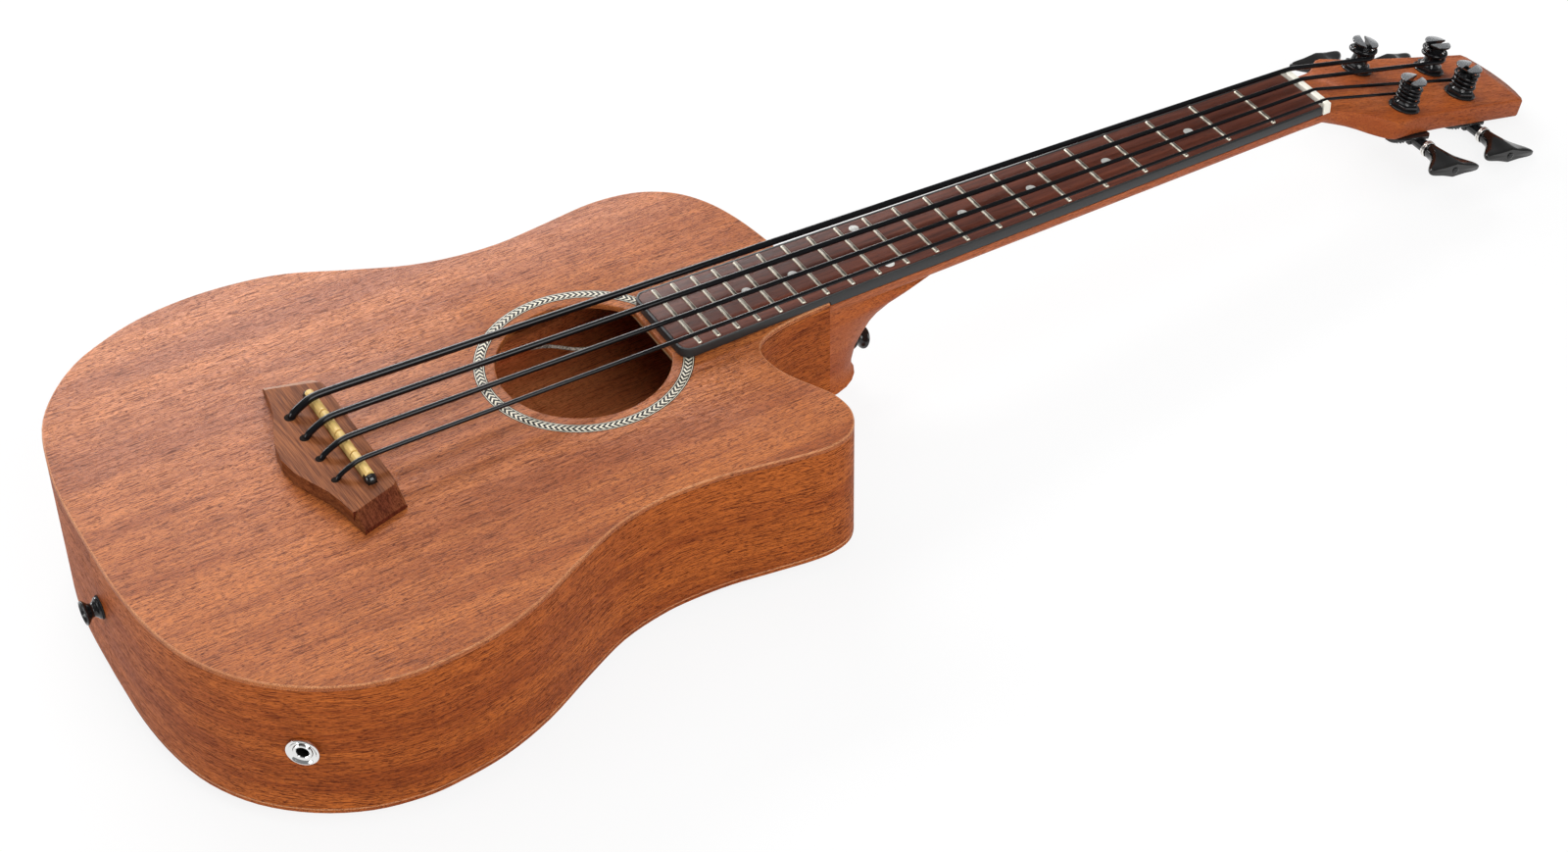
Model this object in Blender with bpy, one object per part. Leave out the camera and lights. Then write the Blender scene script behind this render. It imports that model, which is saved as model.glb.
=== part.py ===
"""Bass ukulele with a cutaway body, twenty frets, a pickup and four open tuners.

The instrument lies on its back. +X runs from the tail to the head, +Y to the bass side and +Z up.
The origin is on the flat back, under the saddle. The body is drawn in the frame of its flat top,
whose zero is at the saddle, and the headstock in a frame of its own that is tilted back.
"""

from math import acos, atan, atan2, cos, hypot, pi, radians, sin, tan

import bmesh
import bpy
from mathutils import Matrix, Vector

for old in list(bpy.data.objects):
    bpy.data.objects.remove(old, do_unlink=True)

# Clearances
GAP = 0.0003
FIT = 0.0004

# Scale and frets
SCALE = 0.597
SADDLE_SETBACK = 0.003
FRETS = 20
NUT_X = SCALE + SADDLE_SETBACK

# Body
TAIL_X = -0.1335
BODY_LONG = 0.402
BODY_WIDE = 0.312
TOP_THICK = 0.003
BACK_THICK = 0.003
SIDE_THICK = 0.0022
TAIL_DEPTH = 0.0885
BACK_TAPER = 0.0422
LINING_WIDE = 0.0048
LINING_SLACK = 0.0008
LINING_TALL = 0.0100
BLOCK_HALF = 0.042
TAIL_BLOCK_LONG = 0.022
BLOCK_PAST_BRACE = 0.0160
NECK_BLOCK_BASS = 0.030
NECK_BLOCK_TREBLE = 0.019
BRACE_WIDE = 0.008
BRACE_TALL = 0.010
BRACE_PAST_CHORD = 0.0088
BRACE_PAST_HOLE = 0.0188
BACK_BRACES = (0.2455, 0.0885)
PLATE_LONG = 0.052
PLATE_HALF = 0.066
PLATE_THICK = 0.0026

# Outline of the top, from the middle of the tail to the neck, bass side and treble side,
# as drawn. It is stretched to the body's length and width
BASS_DRAWN = (
    (-0.1335, 0.0), (-0.1326, 0.036), (-0.1295, 0.064), (-0.1215, 0.095), (-0.108, 0.1165),
    (-0.090, 0.1335), (-0.070, 0.1440), (-0.048, 0.1513), (-0.022, 0.1545), (0.006, 0.1530),
    (0.034, 0.1465), (0.066, 0.1312), (0.092, 0.1195), (0.116, 0.1132), (0.142, 0.1108),
    (0.168, 0.1130), (0.196, 0.1163), (0.214, 0.1156), (0.229, 0.1118), (0.2415, 0.1045),
    (0.251, 0.0945), (0.2585, 0.0805), (0.2635, 0.0640), (0.2665, 0.0470), (0.2685, 0.0300),
)
TREBLE_DRAWN = (
    (-0.1335, 0.0), (-0.1330, -0.036), (-0.1293, -0.066), (-0.1215, -0.093), (-0.107, -0.1175),
    (-0.086, -0.1375), (-0.062, -0.1510), (-0.038, -0.1570), (-0.018, -0.1575), (0.008, -0.1545),
    (0.036, -0.1455), (0.066, -0.1305), (0.092, -0.1187), (0.116, -0.1137), (0.134, -0.1130),
    (0.156, -0.1147), (0.180, -0.1192), (0.200, -0.1228), (0.2125, -0.1232), (0.2225, -0.1205),
    (0.2290, -0.1145), (0.2328, -0.1065), (0.2335, -0.0985), (0.2318, -0.0890), (0.2275, -0.0800),
    (0.2225, -0.0700), (0.2186, -0.0600), (0.2168, -0.0500), (0.2175, -0.0420), (0.2215, -0.0355),
    (0.2300, -0.0310), (0.2450, -0.0280), (0.2685, -0.0262),
)
BODY_END_X = TAIL_X + BODY_LONG
long_share = BODY_LONG / (BASS_DRAWN[-1][0] - BASS_DRAWN[0][0])
wide_share = BODY_WIDE / (max(y for x, y in BASS_DRAWN) - min(y for x, y in TREBLE_DRAWN))
BASS_SIDE = [(TAIL_X + (x - BASS_DRAWN[0][0]) * long_share, y * wide_share) for x, y in BASS_DRAWN]
TREBLE_SIDE = [(TAIL_X + (x - TREBLE_DRAWN[0][0]) * long_share, y * wide_share) for x, y in TREBLE_DRAWN]

# Soundhole and rosette. The hole stays at its share of the body, and the straight cut at its share of the hole
HOLE_FROM_TAIL = 0.2698
HOLE_X = TAIL_X + HOLE_FROM_TAIL * long_share
HOLE_RADIUS = 0.0455
HOLE_CHORD = 0.0409
HOLE_CHORD_X = HOLE_X + HOLE_CHORD
ROSETTE_INNER = 0.0509
ROSETTE_OUTER = 0.0570
ROSETTE_THICK = 0.0012

# Fretboard, neck and nut
BOARD_PAST_CHORD = 0.0023
BOARD_END_X = HOLE_CHORD_X + BOARD_PAST_CHORD
BOARD_HALF_NUT = 0.0200
BOARD_HALF_END = 0.0281
BOARD_Z_END = 0.0056
BOARD_FALL = 0.0170
BOARD_THICK_NUT = 0.0052
BOARD_THICK_BODY = 0.0062
BOARD_CORNER = 0.007
BINDING_WIDE = 0.0017
FRET_WIDE = 0.0024
FRET_TALL = 0.0010
NUT_THICK = 0.0052
NUT_RISE = 0.0013
NECK_DEPTH_BODY = 0.0155
NECK_DEPTH_NUT = 0.0130
ROD_RADIUS = 0.003
ROD_PAST_BODY = 0.0135
ROD_BEFORE_NUT = 0.020
ROD_FROM_X = BODY_END_X + ROD_PAST_BODY
ROD_TO_X = NUT_X - ROD_BEFORE_NUT

# Headstock, in its own frame: along, across, thickness
HEAD_TILT = radians(15.2)
CROWN = 0.00005
CROWN_STEPS = 6
HEAD_THICK = 0.012
HEAD_Z = -0.00695
HEAD_LONG = 0.1500
# from the nut to the tip, as drawn: place along and half width. It is stretched to the head's length
HEAD_DRAWN = (
    (0.0005, 0.0199), (0.005, 0.0201), (0.0095, 0.0206), (0.016, 0.0225), (0.022, 0.0256),
    (0.0276, 0.0295), (0.0324, 0.0340), (0.0364, 0.0370), (0.0403, 0.0379), (0.046, 0.0369),
    (0.060, 0.0341), (0.079, 0.0322), (0.110, 0.0301), (0.1385, 0.0284), (0.1500, 0.027714),
)
head_share = HEAD_LONG / HEAD_DRAWN[-1][0]
HEAD_HALF = [(u * head_share, half_wide) for u, half_wide in HEAD_DRAWN]
TIP_LONG = 0.0035
TIP_SLOPE = 0.22
TIP_ROUND = 0.0025
TIP_BULGE = 0.0062

# Bridge, saddle and pickup
BRIDGE_HEAD_X = 0.0105
BRIDGE_HALF = 0.0620
BRIDGE_HEAD_HALF = 0.0545
BRIDGE_TOP_HALF = 0.0530
BRIDGE_TOP_HEAD = 0.0445
BRIDGE_TALL = 0.0088
BRIDGE_TAIL = (
    (BRIDGE_HALF, -0.0153), (0.0530, -0.0171), (0.0430, -0.0187), (0.0330, -0.0212),
    (0.0230, -0.0255), (0.0120, -0.0297), (0.0, -0.0314),
)
SADDLE_THICK = 0.0046
SADDLE_HALF = 0.0364
SADDLE_TOP = 0.0142
SADDLE_SLIT = 0.0009
SLOT_DEPTH = 0.0046
STRIP_TALL = 0.0012
STRIP_END = 0.0026
HOLES_X = -0.0140

# Strings: name, radius, place across at the bridge and at the nut
STRINGS = (
    ("E", 0.00155, 0.0272, 0.0176),
    ("A", 0.00140, 0.0091, 0.0060),
    ("D", 0.00115, -0.0091, -0.0058),
    ("G", 0.00100, -0.0272, -0.0168),
)

# Tuners
POST_DRAWN = {"E": (0.0565, 0.0226), "A": (0.1080, 0.0144), "D": (0.1075, -0.0146), "G": (0.0555, -0.0224)}
POST_PLACE = {name: (u * head_share, v) for name, (u, v) in POST_DRAWN.items()}
WINDING = {"E": (0.0102, 1.25, 0.0036), "A": (0.0086, 1.75, 0.0033),
           "D": (0.0051, 3.5, 0.00275), "G": (0.0049, 4.0, 0.00245)}
# how far each post's slot and each key stand turned at rest, in degrees
POST_TURN = {"E": 67, "A": 0, "D": 23, "G": 22}
KEY_TURN = {"E": 18, "A": 12, "D": 0, "G": 0}
POST_RADIUS = 0.0039
POST_TOP = 0.0185
PRONG_RADIUS = 0.0078
PRONG_TALL = 0.0019
SLOT_WIDE = 0.0034
SLOT_TALL = 0.0062
TUNER_PLATE_THICK = 0.0018
PLATE_BACK = 0.0150
PLATE_FRONT = 0.0160
PLATE_INNER = 0.0110
PLATE_OUTER = 0.0145
WHEEL_RADIUS = 0.0073
WHEEL_TEETH = 20
WHEEL_THICK = 0.0036
WORM_RADIUS = 0.0032
TOOTH_HALF = 0.0005
WORM_LONG = 0.0076
SHAFT_RADIUS = 0.0022
STEM_RADIUS = 0.0036
LUG_THICK = 0.0028
COLLAR_RADIUS = 0.0046
COLLAR_FROM = 0.0172
COLLAR_LONG = 0.0032
KEY_LONG = 0.0228
KEY_HALF = 0.0190
NUT_FLATS = 0.0072
NUT_TALL = 0.0022
WASHER_RADIUS = 0.0093
WASHER_TALL = 0.0009

# Strap buttons and jack
BUTTON_RADIUS = 0.0064
BUTTON_LONG = 0.0092
BUTTON_BASE = 0.0056
BUTTON_WAIST = 0.0034
SCREW_RADIUS = 0.0017
SCREW_LONG = 0.012
TAIL_BUTTON_Z = -0.040
HEEL_BUTTON_Z = -0.055
JACK_X = -0.0868
JACK_Z = -0.0427
JACK_FLANGE = 0.0083
JACK_BARREL = 0.0047
JACK_BORE = 0.0032
JACK_LONG = 0.019
LEAD_RADIUS = 0.0010
LEAD_AT = (0.0, 0.030)
LEAD_ROUTE = (
    (0.004, 0.033, -0.0150), (0.030, 0.044, -0.0260), (0.075, 0.057, -0.0310), (0.112, 0.060, -0.0315),
    (0.138, 0.0545, -0.0300), (0.150, 0.0440, -0.0300), (0.160, 0.0400, -0.0310), (0.172, 0.0390, -0.0310),
    (0.184, 0.0392, -0.0315), (0.195, 0.0375, -0.0320), (0.2015, 0.028, -0.0380), (0.201, 0.0080, -0.0490),
    (0.193, -0.0180, -0.0570),
    (0.172, -0.0480, -0.0610), (0.130, -0.0750, -0.0610),
    (0.060, -0.0960, -0.0600), (-0.010, -0.1080, -0.0540),
)


# Frames: the body's top is not parallel to the back, and the headstock is tilted back from the neck
def back_z(x):
    """height of the outer face of the back, in the frame of the top"""
    return -TAIL_DEPTH + BACK_TAPER * (x - TAIL_X)


def empty(name, matrix, parent=None):
    made = bpy.data.objects.new(name, None)
    bpy.context.scene.collection.objects.link(made)
    made.parent = parent
    made.matrix_local = matrix
    return made


wedge = atan(BACK_TAPER)
BODY = Matrix.Rotation(wedge, 4, "Y") @ Matrix.Translation((0, 0, -back_z(0)))
HEAD = Matrix.Translation((NUT_X + NUT_THICK + 2 * GAP, 0, HEAD_Z)) @ Matrix.Rotation(HEAD_TILT, 4, "Y")
body_frame = empty("body_frame", BODY)
head_frame = empty("head_frame", HEAD, body_frame)


# Shapes
def catmull(points, per):
    """a smooth line through the points, with per steps between each two"""
    pts = [Vector(p) for p in points]
    line = []
    for i in range(len(pts) - 1):
        a = pts[i - 1] if i else pts[0] * 2 - pts[1]
        b, c = pts[i], pts[i + 1]
        d = pts[i + 2] if i + 2 < len(pts) else pts[-1] * 2 - pts[-2]
        for k in range(per):
            t = k / per
            p = b * 2 + (c - a) * t + (a * 2 - b * 5 + c * 4 - d) * t ** 2 + (b * 3 - a - c * 3 + d) * t ** 3
            line.append(p / 2)
    line.append(pts[-1])
    return line


def material(name, colour, rough, metal):
    made = bpy.data.materials.new(name)
    made.use_nodes = True
    shader = made.node_tree.nodes["Principled BSDF"]
    shader.inputs["Base Color"].default_value = (*colour, 1)
    shader.inputs["Roughness"].default_value = rough
    shader.inputs["Metallic"].default_value = metal
    made.diffuse_color = (*colour, 1)
    return made


LOOKS = {
    "mahogany": ((0.42, 0.15, 0.07), 0.45, 0.0),
    "neck_wood": ((0.50, 0.20, 0.10), 0.45, 0.0),
    "spruce": ((0.62, 0.42, 0.25), 0.6, 0.0),
    "rosewood": ((0.14, 0.05, 0.035), 0.5, 0.0),
    "bridge_wood": ((0.25, 0.10, 0.06), 0.5, 0.0),
    "dark_binding": ((0.045, 0.048, 0.05), 0.5, 0.0),
    "inlay": ((0.5, 0.48, 0.42), 0.4, 0.0),
    "bone": ((0.85, 0.83, 0.75), 0.35, 0.0),
    "cream": ((0.80, 0.62, 0.22), 0.35, 0.0),
    "black_plate": ((0.012, 0.012, 0.013), 0.2, 0.6),
    "black_rubber": ((0.015, 0.016, 0.018), 0.35, 0.0),
    "black_plastic": ((0.012, 0.011, 0.011), 0.3, 0.0),
    "chrome": ((0.7, 0.7, 0.7), 0.12, 1.0),
    "steel": ((0.45, 0.45, 0.45), 0.3, 1.0),
    "nickel": ((0.65, 0.62, 0.55), 0.25, 1.0),
    "lead": ((0.10, 0.06, 0.04), 0.6, 0.0),
}


def finish(bm):
    bmesh.ops.remove_doubles(bm, verts=bm.verts, dist=1e-7)
    bmesh.ops.recalc_face_normals(bm, faces=bm.faces)
    if bm.calc_volume(signed=True) < 0:
        bmesh.ops.reverse_faces(bm, faces=bm.faces)
    mesh = bpy.data.meshes.new("shape")
    bm.to_mesh(mesh)
    bm.free()
    return mesh


def piece(name, mesh, look, parent=body_frame, at=(0, 0, 0)):
    made = bpy.data.objects.new(name, mesh)
    bpy.context.scene.collection.objects.link(made)
    made.parent = parent
    made.location = at
    mesh.name = name
    mesh.materials.clear()
    mesh.materials.append(material(name, *LOOKS[look]))
    mesh.shade_smooth()
    mesh.set_sharp_from_angle(angle=radians(32))
    return made


def combine(mesh, others, how):
    """the mesh with the other meshes cut out of it or joined to it"""
    for other in others:
        held = bpy.data.objects.new("held", mesh)
        tool = bpy.data.objects.new("tool", other)
        bpy.context.scene.collection.objects.link(held)
        bpy.context.scene.collection.objects.link(tool)
        step = held.modifiers.new("step", "BOOLEAN")
        step.operation = how
        step.solver = "EXACT"
        step.object = tool
        bpy.context.view_layer.update()
        graph = bpy.context.evaluated_depsgraph_get()
        mesh = bpy.data.meshes.new_from_object(held.evaluated_get(graph))
        bpy.data.objects.remove(held, do_unlink=True)
        bpy.data.objects.remove(tool, do_unlink=True)
    return mesh


def gathered(meshes):
    """meshes that don't touch, as one"""
    bm = bmesh.new()
    for mesh in meshes:
        bm.from_mesh(mesh)
    return finish(bm)


def moved(mesh, matrix):
    mesh.transform(matrix)
    if matrix.determinant() < 0:
        mesh.flip_normals()
    return mesh


def loft(rings):
    """a closed solid through rings of points, each ring with as many points"""
    bm = bmesh.new()
    rows = [[bm.verts.new(p) for p in ring] for ring in rings]
    count = len(rows[0])
    for a, b in zip(rows, rows[1:]):
        for i in range(count):
            j = (i + 1) % count
            bm.faces.new((a[i], a[j], b[j], b[i]))
    bm.faces.new(rows[0])
    bm.faces.new(rows[-1])
    return finish(bm)


def prism(outline, low, high):
    """the outline between two heights, each a number or a function of x"""
    z0 = low if callable(low) else lambda x: low
    z1 = high if callable(high) else lambda x: high
    return loft([[(x, y, z0(x)) for x, y in outline], [(x, y, z1(x)) for x, y in outline]])


def block(x0, x1, y0, y1, z0, z1):
    return prism([(x0, y0), (x1, y0), (x1, y1), (x0, y1)], z0, z1)


def turned(profile, sides=24):
    """a solid turned about Z from (radius, height) points, its first and last on the axis or joined"""
    bm = bmesh.new()
    closed = profile[0][0] > 0
    rows = []
    for r, z in profile:
        if r == 0:
            rows.append([bm.verts.new((0, 0, z))])
        else:
            rows.append([bm.verts.new((r * cos(2 * pi * k / sides), r * sin(2 * pi * k / sides), z))
                         for k in range(sides)])
    pairs = list(zip(rows, rows[1:] + rows[:1])) if closed else list(zip(rows, rows[1:]))
    for a, b in pairs:
        for k in range(sides):
            j = (k + 1) % sides
            corners = [a[k % len(a)], a[j % len(a)], b[j % len(b)], b[k % len(b)]]
            kept = [v for n, v in enumerate(corners) if v not in corners[:n]]
            bm.faces.new(kept)
    return finish(bm)


def facing(direction, at):
    """a frame at the point whose Z looks along the direction"""
    return Matrix.Translation(at) @ Vector(direction).to_track_quat("Z", "Y").to_matrix().to_4x4()


def cord(points, radius, resolution=1):
    """a round tube through the points, as a curve"""
    curve = bpy.data.curves.new("cord", "CURVE")
    curve.dimensions = "3D"
    curve.bevel_depth = radius
    curve.bevel_resolution = resolution
    curve.use_fill_caps = True
    line = curve.splines.new("POLY")
    line.points.add(len(points) - 1)
    for point, place in zip(line.points, points):
        point.co = (*place, 1)
    return curve


def solid_cord(points, radius):
    """the same tube as a mesh, to cut its way through another piece"""
    held = bpy.data.objects.new("held", cord(points, radius))
    bpy.context.scene.collection.objects.link(held)
    bpy.context.view_layer.update()
    graph = bpy.context.evaluated_depsgraph_get()
    mesh = bpy.data.meshes.new_from_object(held.evaluated_get(graph))
    bpy.data.objects.remove(held, do_unlink=True)
    bm = bmesh.new()
    bm.from_mesh(mesh)
    bmesh.ops.remove_doubles(bm, verts=bm.verts, dist=1e-6)
    return finish(bm)


def cord_piece(name, curve, look):
    made = bpy.data.objects.new(name, curve)
    bpy.context.scene.collection.objects.link(made)
    made.parent = body_frame
    curve.materials.append(material(name, *LOOKS[look]))
    return made


# Outline stations: each a point of the outline with its direction inward
def stations(line, inward):
    """points of a line with unit normals on the inward side: 1 to the left, -1 to the right"""
    found = []
    for i, p in enumerate(line):
        a = line[max(i - 1, 0)]
        b = line[min(i + 1, len(line) - 1)]
        along = Vector((b[0] - a[0], b[1] - a[1])).normalized()
        found.append((Vector(p[:2]), Vector((-along[1], along[0])) * inward))
    return found


def wall(line, near, far, low, high):
    """a strip that follows the stations between two distances inward, closed at its ends"""
    rings = []
    for p, n in line:
        a, b = p + n * near, p + n * far
        rings.append([(*a, low(a[0])), (*b, low(b[0])), (*b, high(b[0])), (*a, high(a[0]))])
    return loft(rings)


bass_line = [tuple(p) for p in catmull([(*p, 0) for p in BASS_SIDE], 2)]
treble_line = [tuple(p) for p in catmull([(*p, 0) for p in TREBLE_SIDE], 2)]
bass_line = [(x, y) for x, y, z in bass_line]
treble_line = [(x, y) for x, y, z in treble_line]
outline = bass_line + treble_line[:0:-1]
top_low = -TOP_THICK


def under_top(x):
    return -TOP_THICK - GAP


def over_back(x):
    return back_z(x) + BACK_THICK + GAP


# The two halves of the side meet at the tail and under the neck
seam = GAP / 2
bass_wall = [(TAIL_X, seam)] + bass_line[1:] + [(BODY_END_X, seam)]
treble_wall = [(TAIL_X, -seam)] + treble_line[1:] + [(BODY_END_X, -seam)]
bass_stations = stations(bass_wall, -1)
treble_stations = stations(treble_wall, 1)
side_bass = wall(bass_stations, 0, SIDE_THICK, over_back, under_top)
side_treble = wall(treble_stations, 0, SIDE_THICK, over_back, under_top)


def width_at(line, x):
    """distance of the outline from the centre line, on the long run before the horn"""
    for (x0, y0), (x1, y1) in zip(line, line[1:]):
        if x0 <= x <= x1 and x1 > x0:
            return abs(y0 + (y1 - y0) * (x - x0) / (x1 - x0))
    return abs(line[-1][1])


def tail_at(y):
    """place along of the tail's outer face at a distance from the centre line"""
    line = bass_line if y >= 0 else treble_line
    for (x0, y0), (x1, y1) in zip(line, line[1:]):
        if abs(y0) <= abs(y) <= abs(y1):
            return x0 + (x1 - x0) * (abs(y) - abs(y0)) / (abs(y1) - abs(y0))
    return line[0][0]


# Jack and its place on the side
for (x0, y0), (x1, y1) in zip(treble_line, treble_line[1:]):
    if x0 <= JACK_X < x1:
        share = (JACK_X - x0) / (x1 - x0)
        jack_at = Vector((JACK_X, y0 + (y1 - y0) * share, JACK_Z))
        jack_out = Vector((y1 - y0, x0 - x1, 0)).normalized()
        break
jack_frame = facing(jack_out, jack_at)
jack_hole = moved(turned([(0, -0.01), (JACK_BARREL + FIT, -0.01), (JACK_BARREL + FIT, 0.01), (0, 0.01)], 16), jack_frame)
flat_out = 0.0006
jack_flange = turned([
    (JACK_BARREL + GAP, flat_out), (JACK_FLANGE, flat_out), (JACK_FLANGE, flat_out + 0.0010),
    (JACK_FLANGE - 0.0007, flat_out + 0.0016), (JACK_FLANGE - 0.0020, flat_out + 0.0016),
    (JACK_BARREL + 0.0012, flat_out + 0.0008), (JACK_BARREL + GAP, flat_out + 0.0008)], 20)
inside = -SIDE_THICK - 0.0010
jack_body = turned([
    (JACK_BORE, flat_out + 0.0010), (JACK_BARREL, flat_out + 0.0010), (JACK_BARREL, inside),
    (JACK_BARREL + 0.0030, inside), (JACK_BARREL + 0.0030, inside - 0.0025), (JACK_BARREL, inside - 0.0025),
    (JACK_BARREL, -JACK_LONG), (JACK_BORE, -JACK_LONG)], 16)
piece("jack_flange", moved(jack_flange, jack_frame), "chrome")
piece("jack_body", moved(jack_body, jack_frame), "black_plastic")

# Strap buttons: a turned head, a waist, a foot and the screw in one piece
BUTTON = (
    (0, -SCREW_LONG), (SCREW_RADIUS, -SCREW_LONG), (SCREW_RADIUS, GAP), (BUTTON_BASE, GAP),
    (BUTTON_BASE, 0.0012), (BUTTON_WAIST, 0.0036), (BUTTON_WAIST + 0.0006, BUTTON_LONG - 0.0038),
    (BUTTON_RADIUS, BUTTON_LONG - 0.0014), (BUTTON_RADIUS - 0.0010, BUTTON_LONG), (0, BUTTON_LONG),
)
tail_frame = facing((-1, 0, 0), (TAIL_X, 0, TAIL_BUTTON_Z))
screw_way = [(0, -SCREW_LONG - FIT), (SCREW_RADIUS + FIT, -SCREW_LONG - FIT), (SCREW_RADIUS + FIT, 0.004), (0, 0.004)]
piece("strap_button_tail", moved(turned(BUTTON, 16), tail_frame), "black_plate")
tail_screw_way = moved(turned(screw_way, 12), tail_frame)

# Sides, linings and blocks
piece("side_bass", combine(side_bass, [tail_screw_way.copy()], "DIFFERENCE"), "mahogany")
piece("side_treble", combine(side_treble, [jack_hole, tail_screw_way.copy()], "DIFFERENCE"), "mahogany")
near = SIDE_THICK + GAP
far = near + LINING_SLACK + LINING_WIDE


def lining(line, stop):
    """every other station beside the tail block and short of the neck block"""
    return [s for k, s in enumerate(line) if abs(s[0][1]) > BLOCK_HALF + GAP and k < stop][::2]


bass_stop = next(k for k, s in enumerate(bass_stations) if s[0][0] > 0.2 and s[0][1] < 0.040)
treble_stop = next(k for k, s in enumerate(treble_stations) if s[0][0] > 0.2 and s[0][1] > -0.064)
for name, line, stop in (("bass", bass_stations, bass_stop), ("treble", treble_stations, treble_stop)):
    strip = lining(line, stop)
    top_strip = wall(strip, near + LINING_SLACK, far, lambda x: under_top(x) - LINING_TALL, under_top)
    back_strip = wall(strip, near + LINING_SLACK, far, over_back, lambda x: over_back(x) + LINING_TALL)
    piece("lining_top_" + name, top_strip, "spruce")
    piece("lining_back_" + name, back_strip, "spruce")
arc = [y * BLOCK_HALF / 4 for y in range(-4, 5)]
tail_inner = TAIL_X + near + TAIL_BLOCK_LONG
tail_plan = [(tail_at(y) + near, y) for y in arc] + [(tail_inner, BLOCK_HALF), (tail_inner, -BLOCK_HALF)]
tail_block = prism(tail_plan, over_back, under_top(0))
piece("tail_block", combine(tail_block, [tail_screw_way], "DIFFERENCE"), "neck_wood")
upper_brace_x = HOLE_CHORD_X + BRACE_PAST_CHORD
lower_brace_x = HOLE_X - HOLE_RADIUS - BRACE_PAST_HOLE
back_brace_x = [TAIL_X + from_tail * long_share for from_tail in BACK_BRACES]
block_end = BODY_END_X - near
block_from = upper_brace_x + BRACE_WIDE / 2 + BLOCK_PAST_BRACE
neck_block = block(block_from, block_end, -NECK_BLOCK_TREBLE, NECK_BLOCK_BASS, over_back, under_top(0))
piece("neck_block", neck_block, "neck_wood")

# Braces stay clear of the linings at both ends
reach = far + GAP + 0.0006


def brace(name, x, low, high):
    x0, x1 = x - BRACE_WIDE / 2, x + BRACE_WIDE / 2
    bass = min(width_at(bass_line, x0), width_at(bass_line, x1)) - reach
    treble = min(width_at(treble_line, x0), width_at(treble_line, x1)) - reach
    piece(name, block(x0, x1, -treble, bass, low, high), "spruce")


brace("brace_top_upper", upper_brace_x, under_top(0) - BRACE_TALL, under_top(0))
brace("brace_top_lower", lower_brace_x, under_top(0) - BRACE_TALL, under_top(0))
brace("brace_back_upper", back_brace_x[0], over_back, lambda x: over_back(x) + BRACE_TALL)
brace("brace_back_lower", back_brace_x[1], over_back, lambda x: over_back(x) + BRACE_TALL)

# Strings: their routes are needed for the slots in the nut and the holes in the bridge
POST_LINE = (
    (0.0036, 0.0062), (0.0054, 0.0051), (0.0100, 0.0044), (0.0160, 0.0052),
)
FLARE = POST_TOP - PRONG_TALL


def post_radius(n):
    if n <= POST_LINE[0][0]:
        return POST_LINE[0][1]
    for (n0, r0), (n1, r1) in zip(POST_LINE, POST_LINE[1:]):
        if n0 <= n <= n1:
            return r0 + (r1 - r0) * (n - n0) / (n1 - n0)
    return POST_LINE[-1][1]


def board_top(x):
    return BOARD_Z_END - BOARD_FALL * (x - BOARD_END_X)


def board_low(x):
    """the glue face of the fretboard on the neck"""
    at_body = board_top(BODY_END_X) - BOARD_THICK_BODY
    at_nut = board_top(NUT_X) - BOARD_THICK_NUT
    return at_body + (at_nut - at_body) * (x - BODY_END_X) / (NUT_X - BODY_END_X)


def string_route(name, radius, y_bridge, y_nut):
    """from the hole in the bridge over the saddle and the nut to the windings on the post"""
    z = BRIDGE_TALL
    crown = SADDLE_TOP + GAP + radius
    nut_z = board_top(NUT_X) + NUT_RISE + GAP + radius
    rise = [
        (HOLES_X - 0.0008, y_bridge, z - 0.0056), (HOLES_X - 0.0006, y_bridge, z - 0.0036),
        (HOLES_X + 0.0000, y_bridge, z - 0.0010), (HOLES_X + 0.0018, y_bridge, z + 0.0013),
        (HOLES_X + 0.0050, y_bridge, z + 0.0032), (HOLES_X + 0.0095, y_bridge, crown - 0.0014),
        (0, y_bridge, crown), (0.012, y_bridge, crown),
    ]
    start = Vector((0.0, y_bridge, crown))
    end = Vector((NUT_X + 0.0012, y_nut, nut_z))
    rise[-1] = tuple(start.lerp(end, 0.02))
    route = catmull(rise, 1)
    route += [start.lerp(end, t) for t in (0.98, 1.0)]
    # over the nut and down to the post, in the frame of the head
    back = HEAD.inverted() @ Vector((NUT_X + NUT_THICK, y_nut, nut_z - 0.0004))
    low, turns, pitch = WINDING[name]
    u, v = POST_PLACE[name]
    side = 1 if v > 0 else -1

    def coil_radius(n):
        span = [post_radius(n + d * radius / 2) for d in (-2, -1, 0, 1, 2)]
        return max(span) + GAP + 0.0001 + radius

    first = coil_radius(low)
    centre = Vector((u - back[0], v - back[1]))
    lean = atan2(centre[1], centre[0])
    open_angle = acos(-first / hypot(*centre))
    begin = lean - side * open_angle
    meet = Vector((u + first * cos(begin), v + first * sin(begin), low))
    ahead = (meet - back).normalized()
    run = [back, back + ahead * 0.004, meet - ahead * 0.003]
    steps = round(24 * turns)
    coil = []
    for k in range(steps + 1):
        t = k / 24
        n = low + pitch * t
        r = coil_radius(n)
        a = begin + side * 2 * pi * t
        coil.append(Vector((u + r * cos(a), v + r * sin(a), n)))
    off = (coil[-1] - coil[-2]).normalized()
    out = Vector((cos(a), sin(a), 0))
    tail = [coil[-1] + (off + out * 0.12).normalized() * d * radius for d in (0.7, 2.1)]
    least = min((p - q).length for i, p in enumerate(coil) for q in coil[i + 12:]) - 2 * radius if turns > 1 else 1
    print(f"string {name}: {turns} turns, least gap to itself {least * 1000:.2f} mm")
    route += [HEAD @ p for p in run + coil + tail]
    return route


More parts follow.
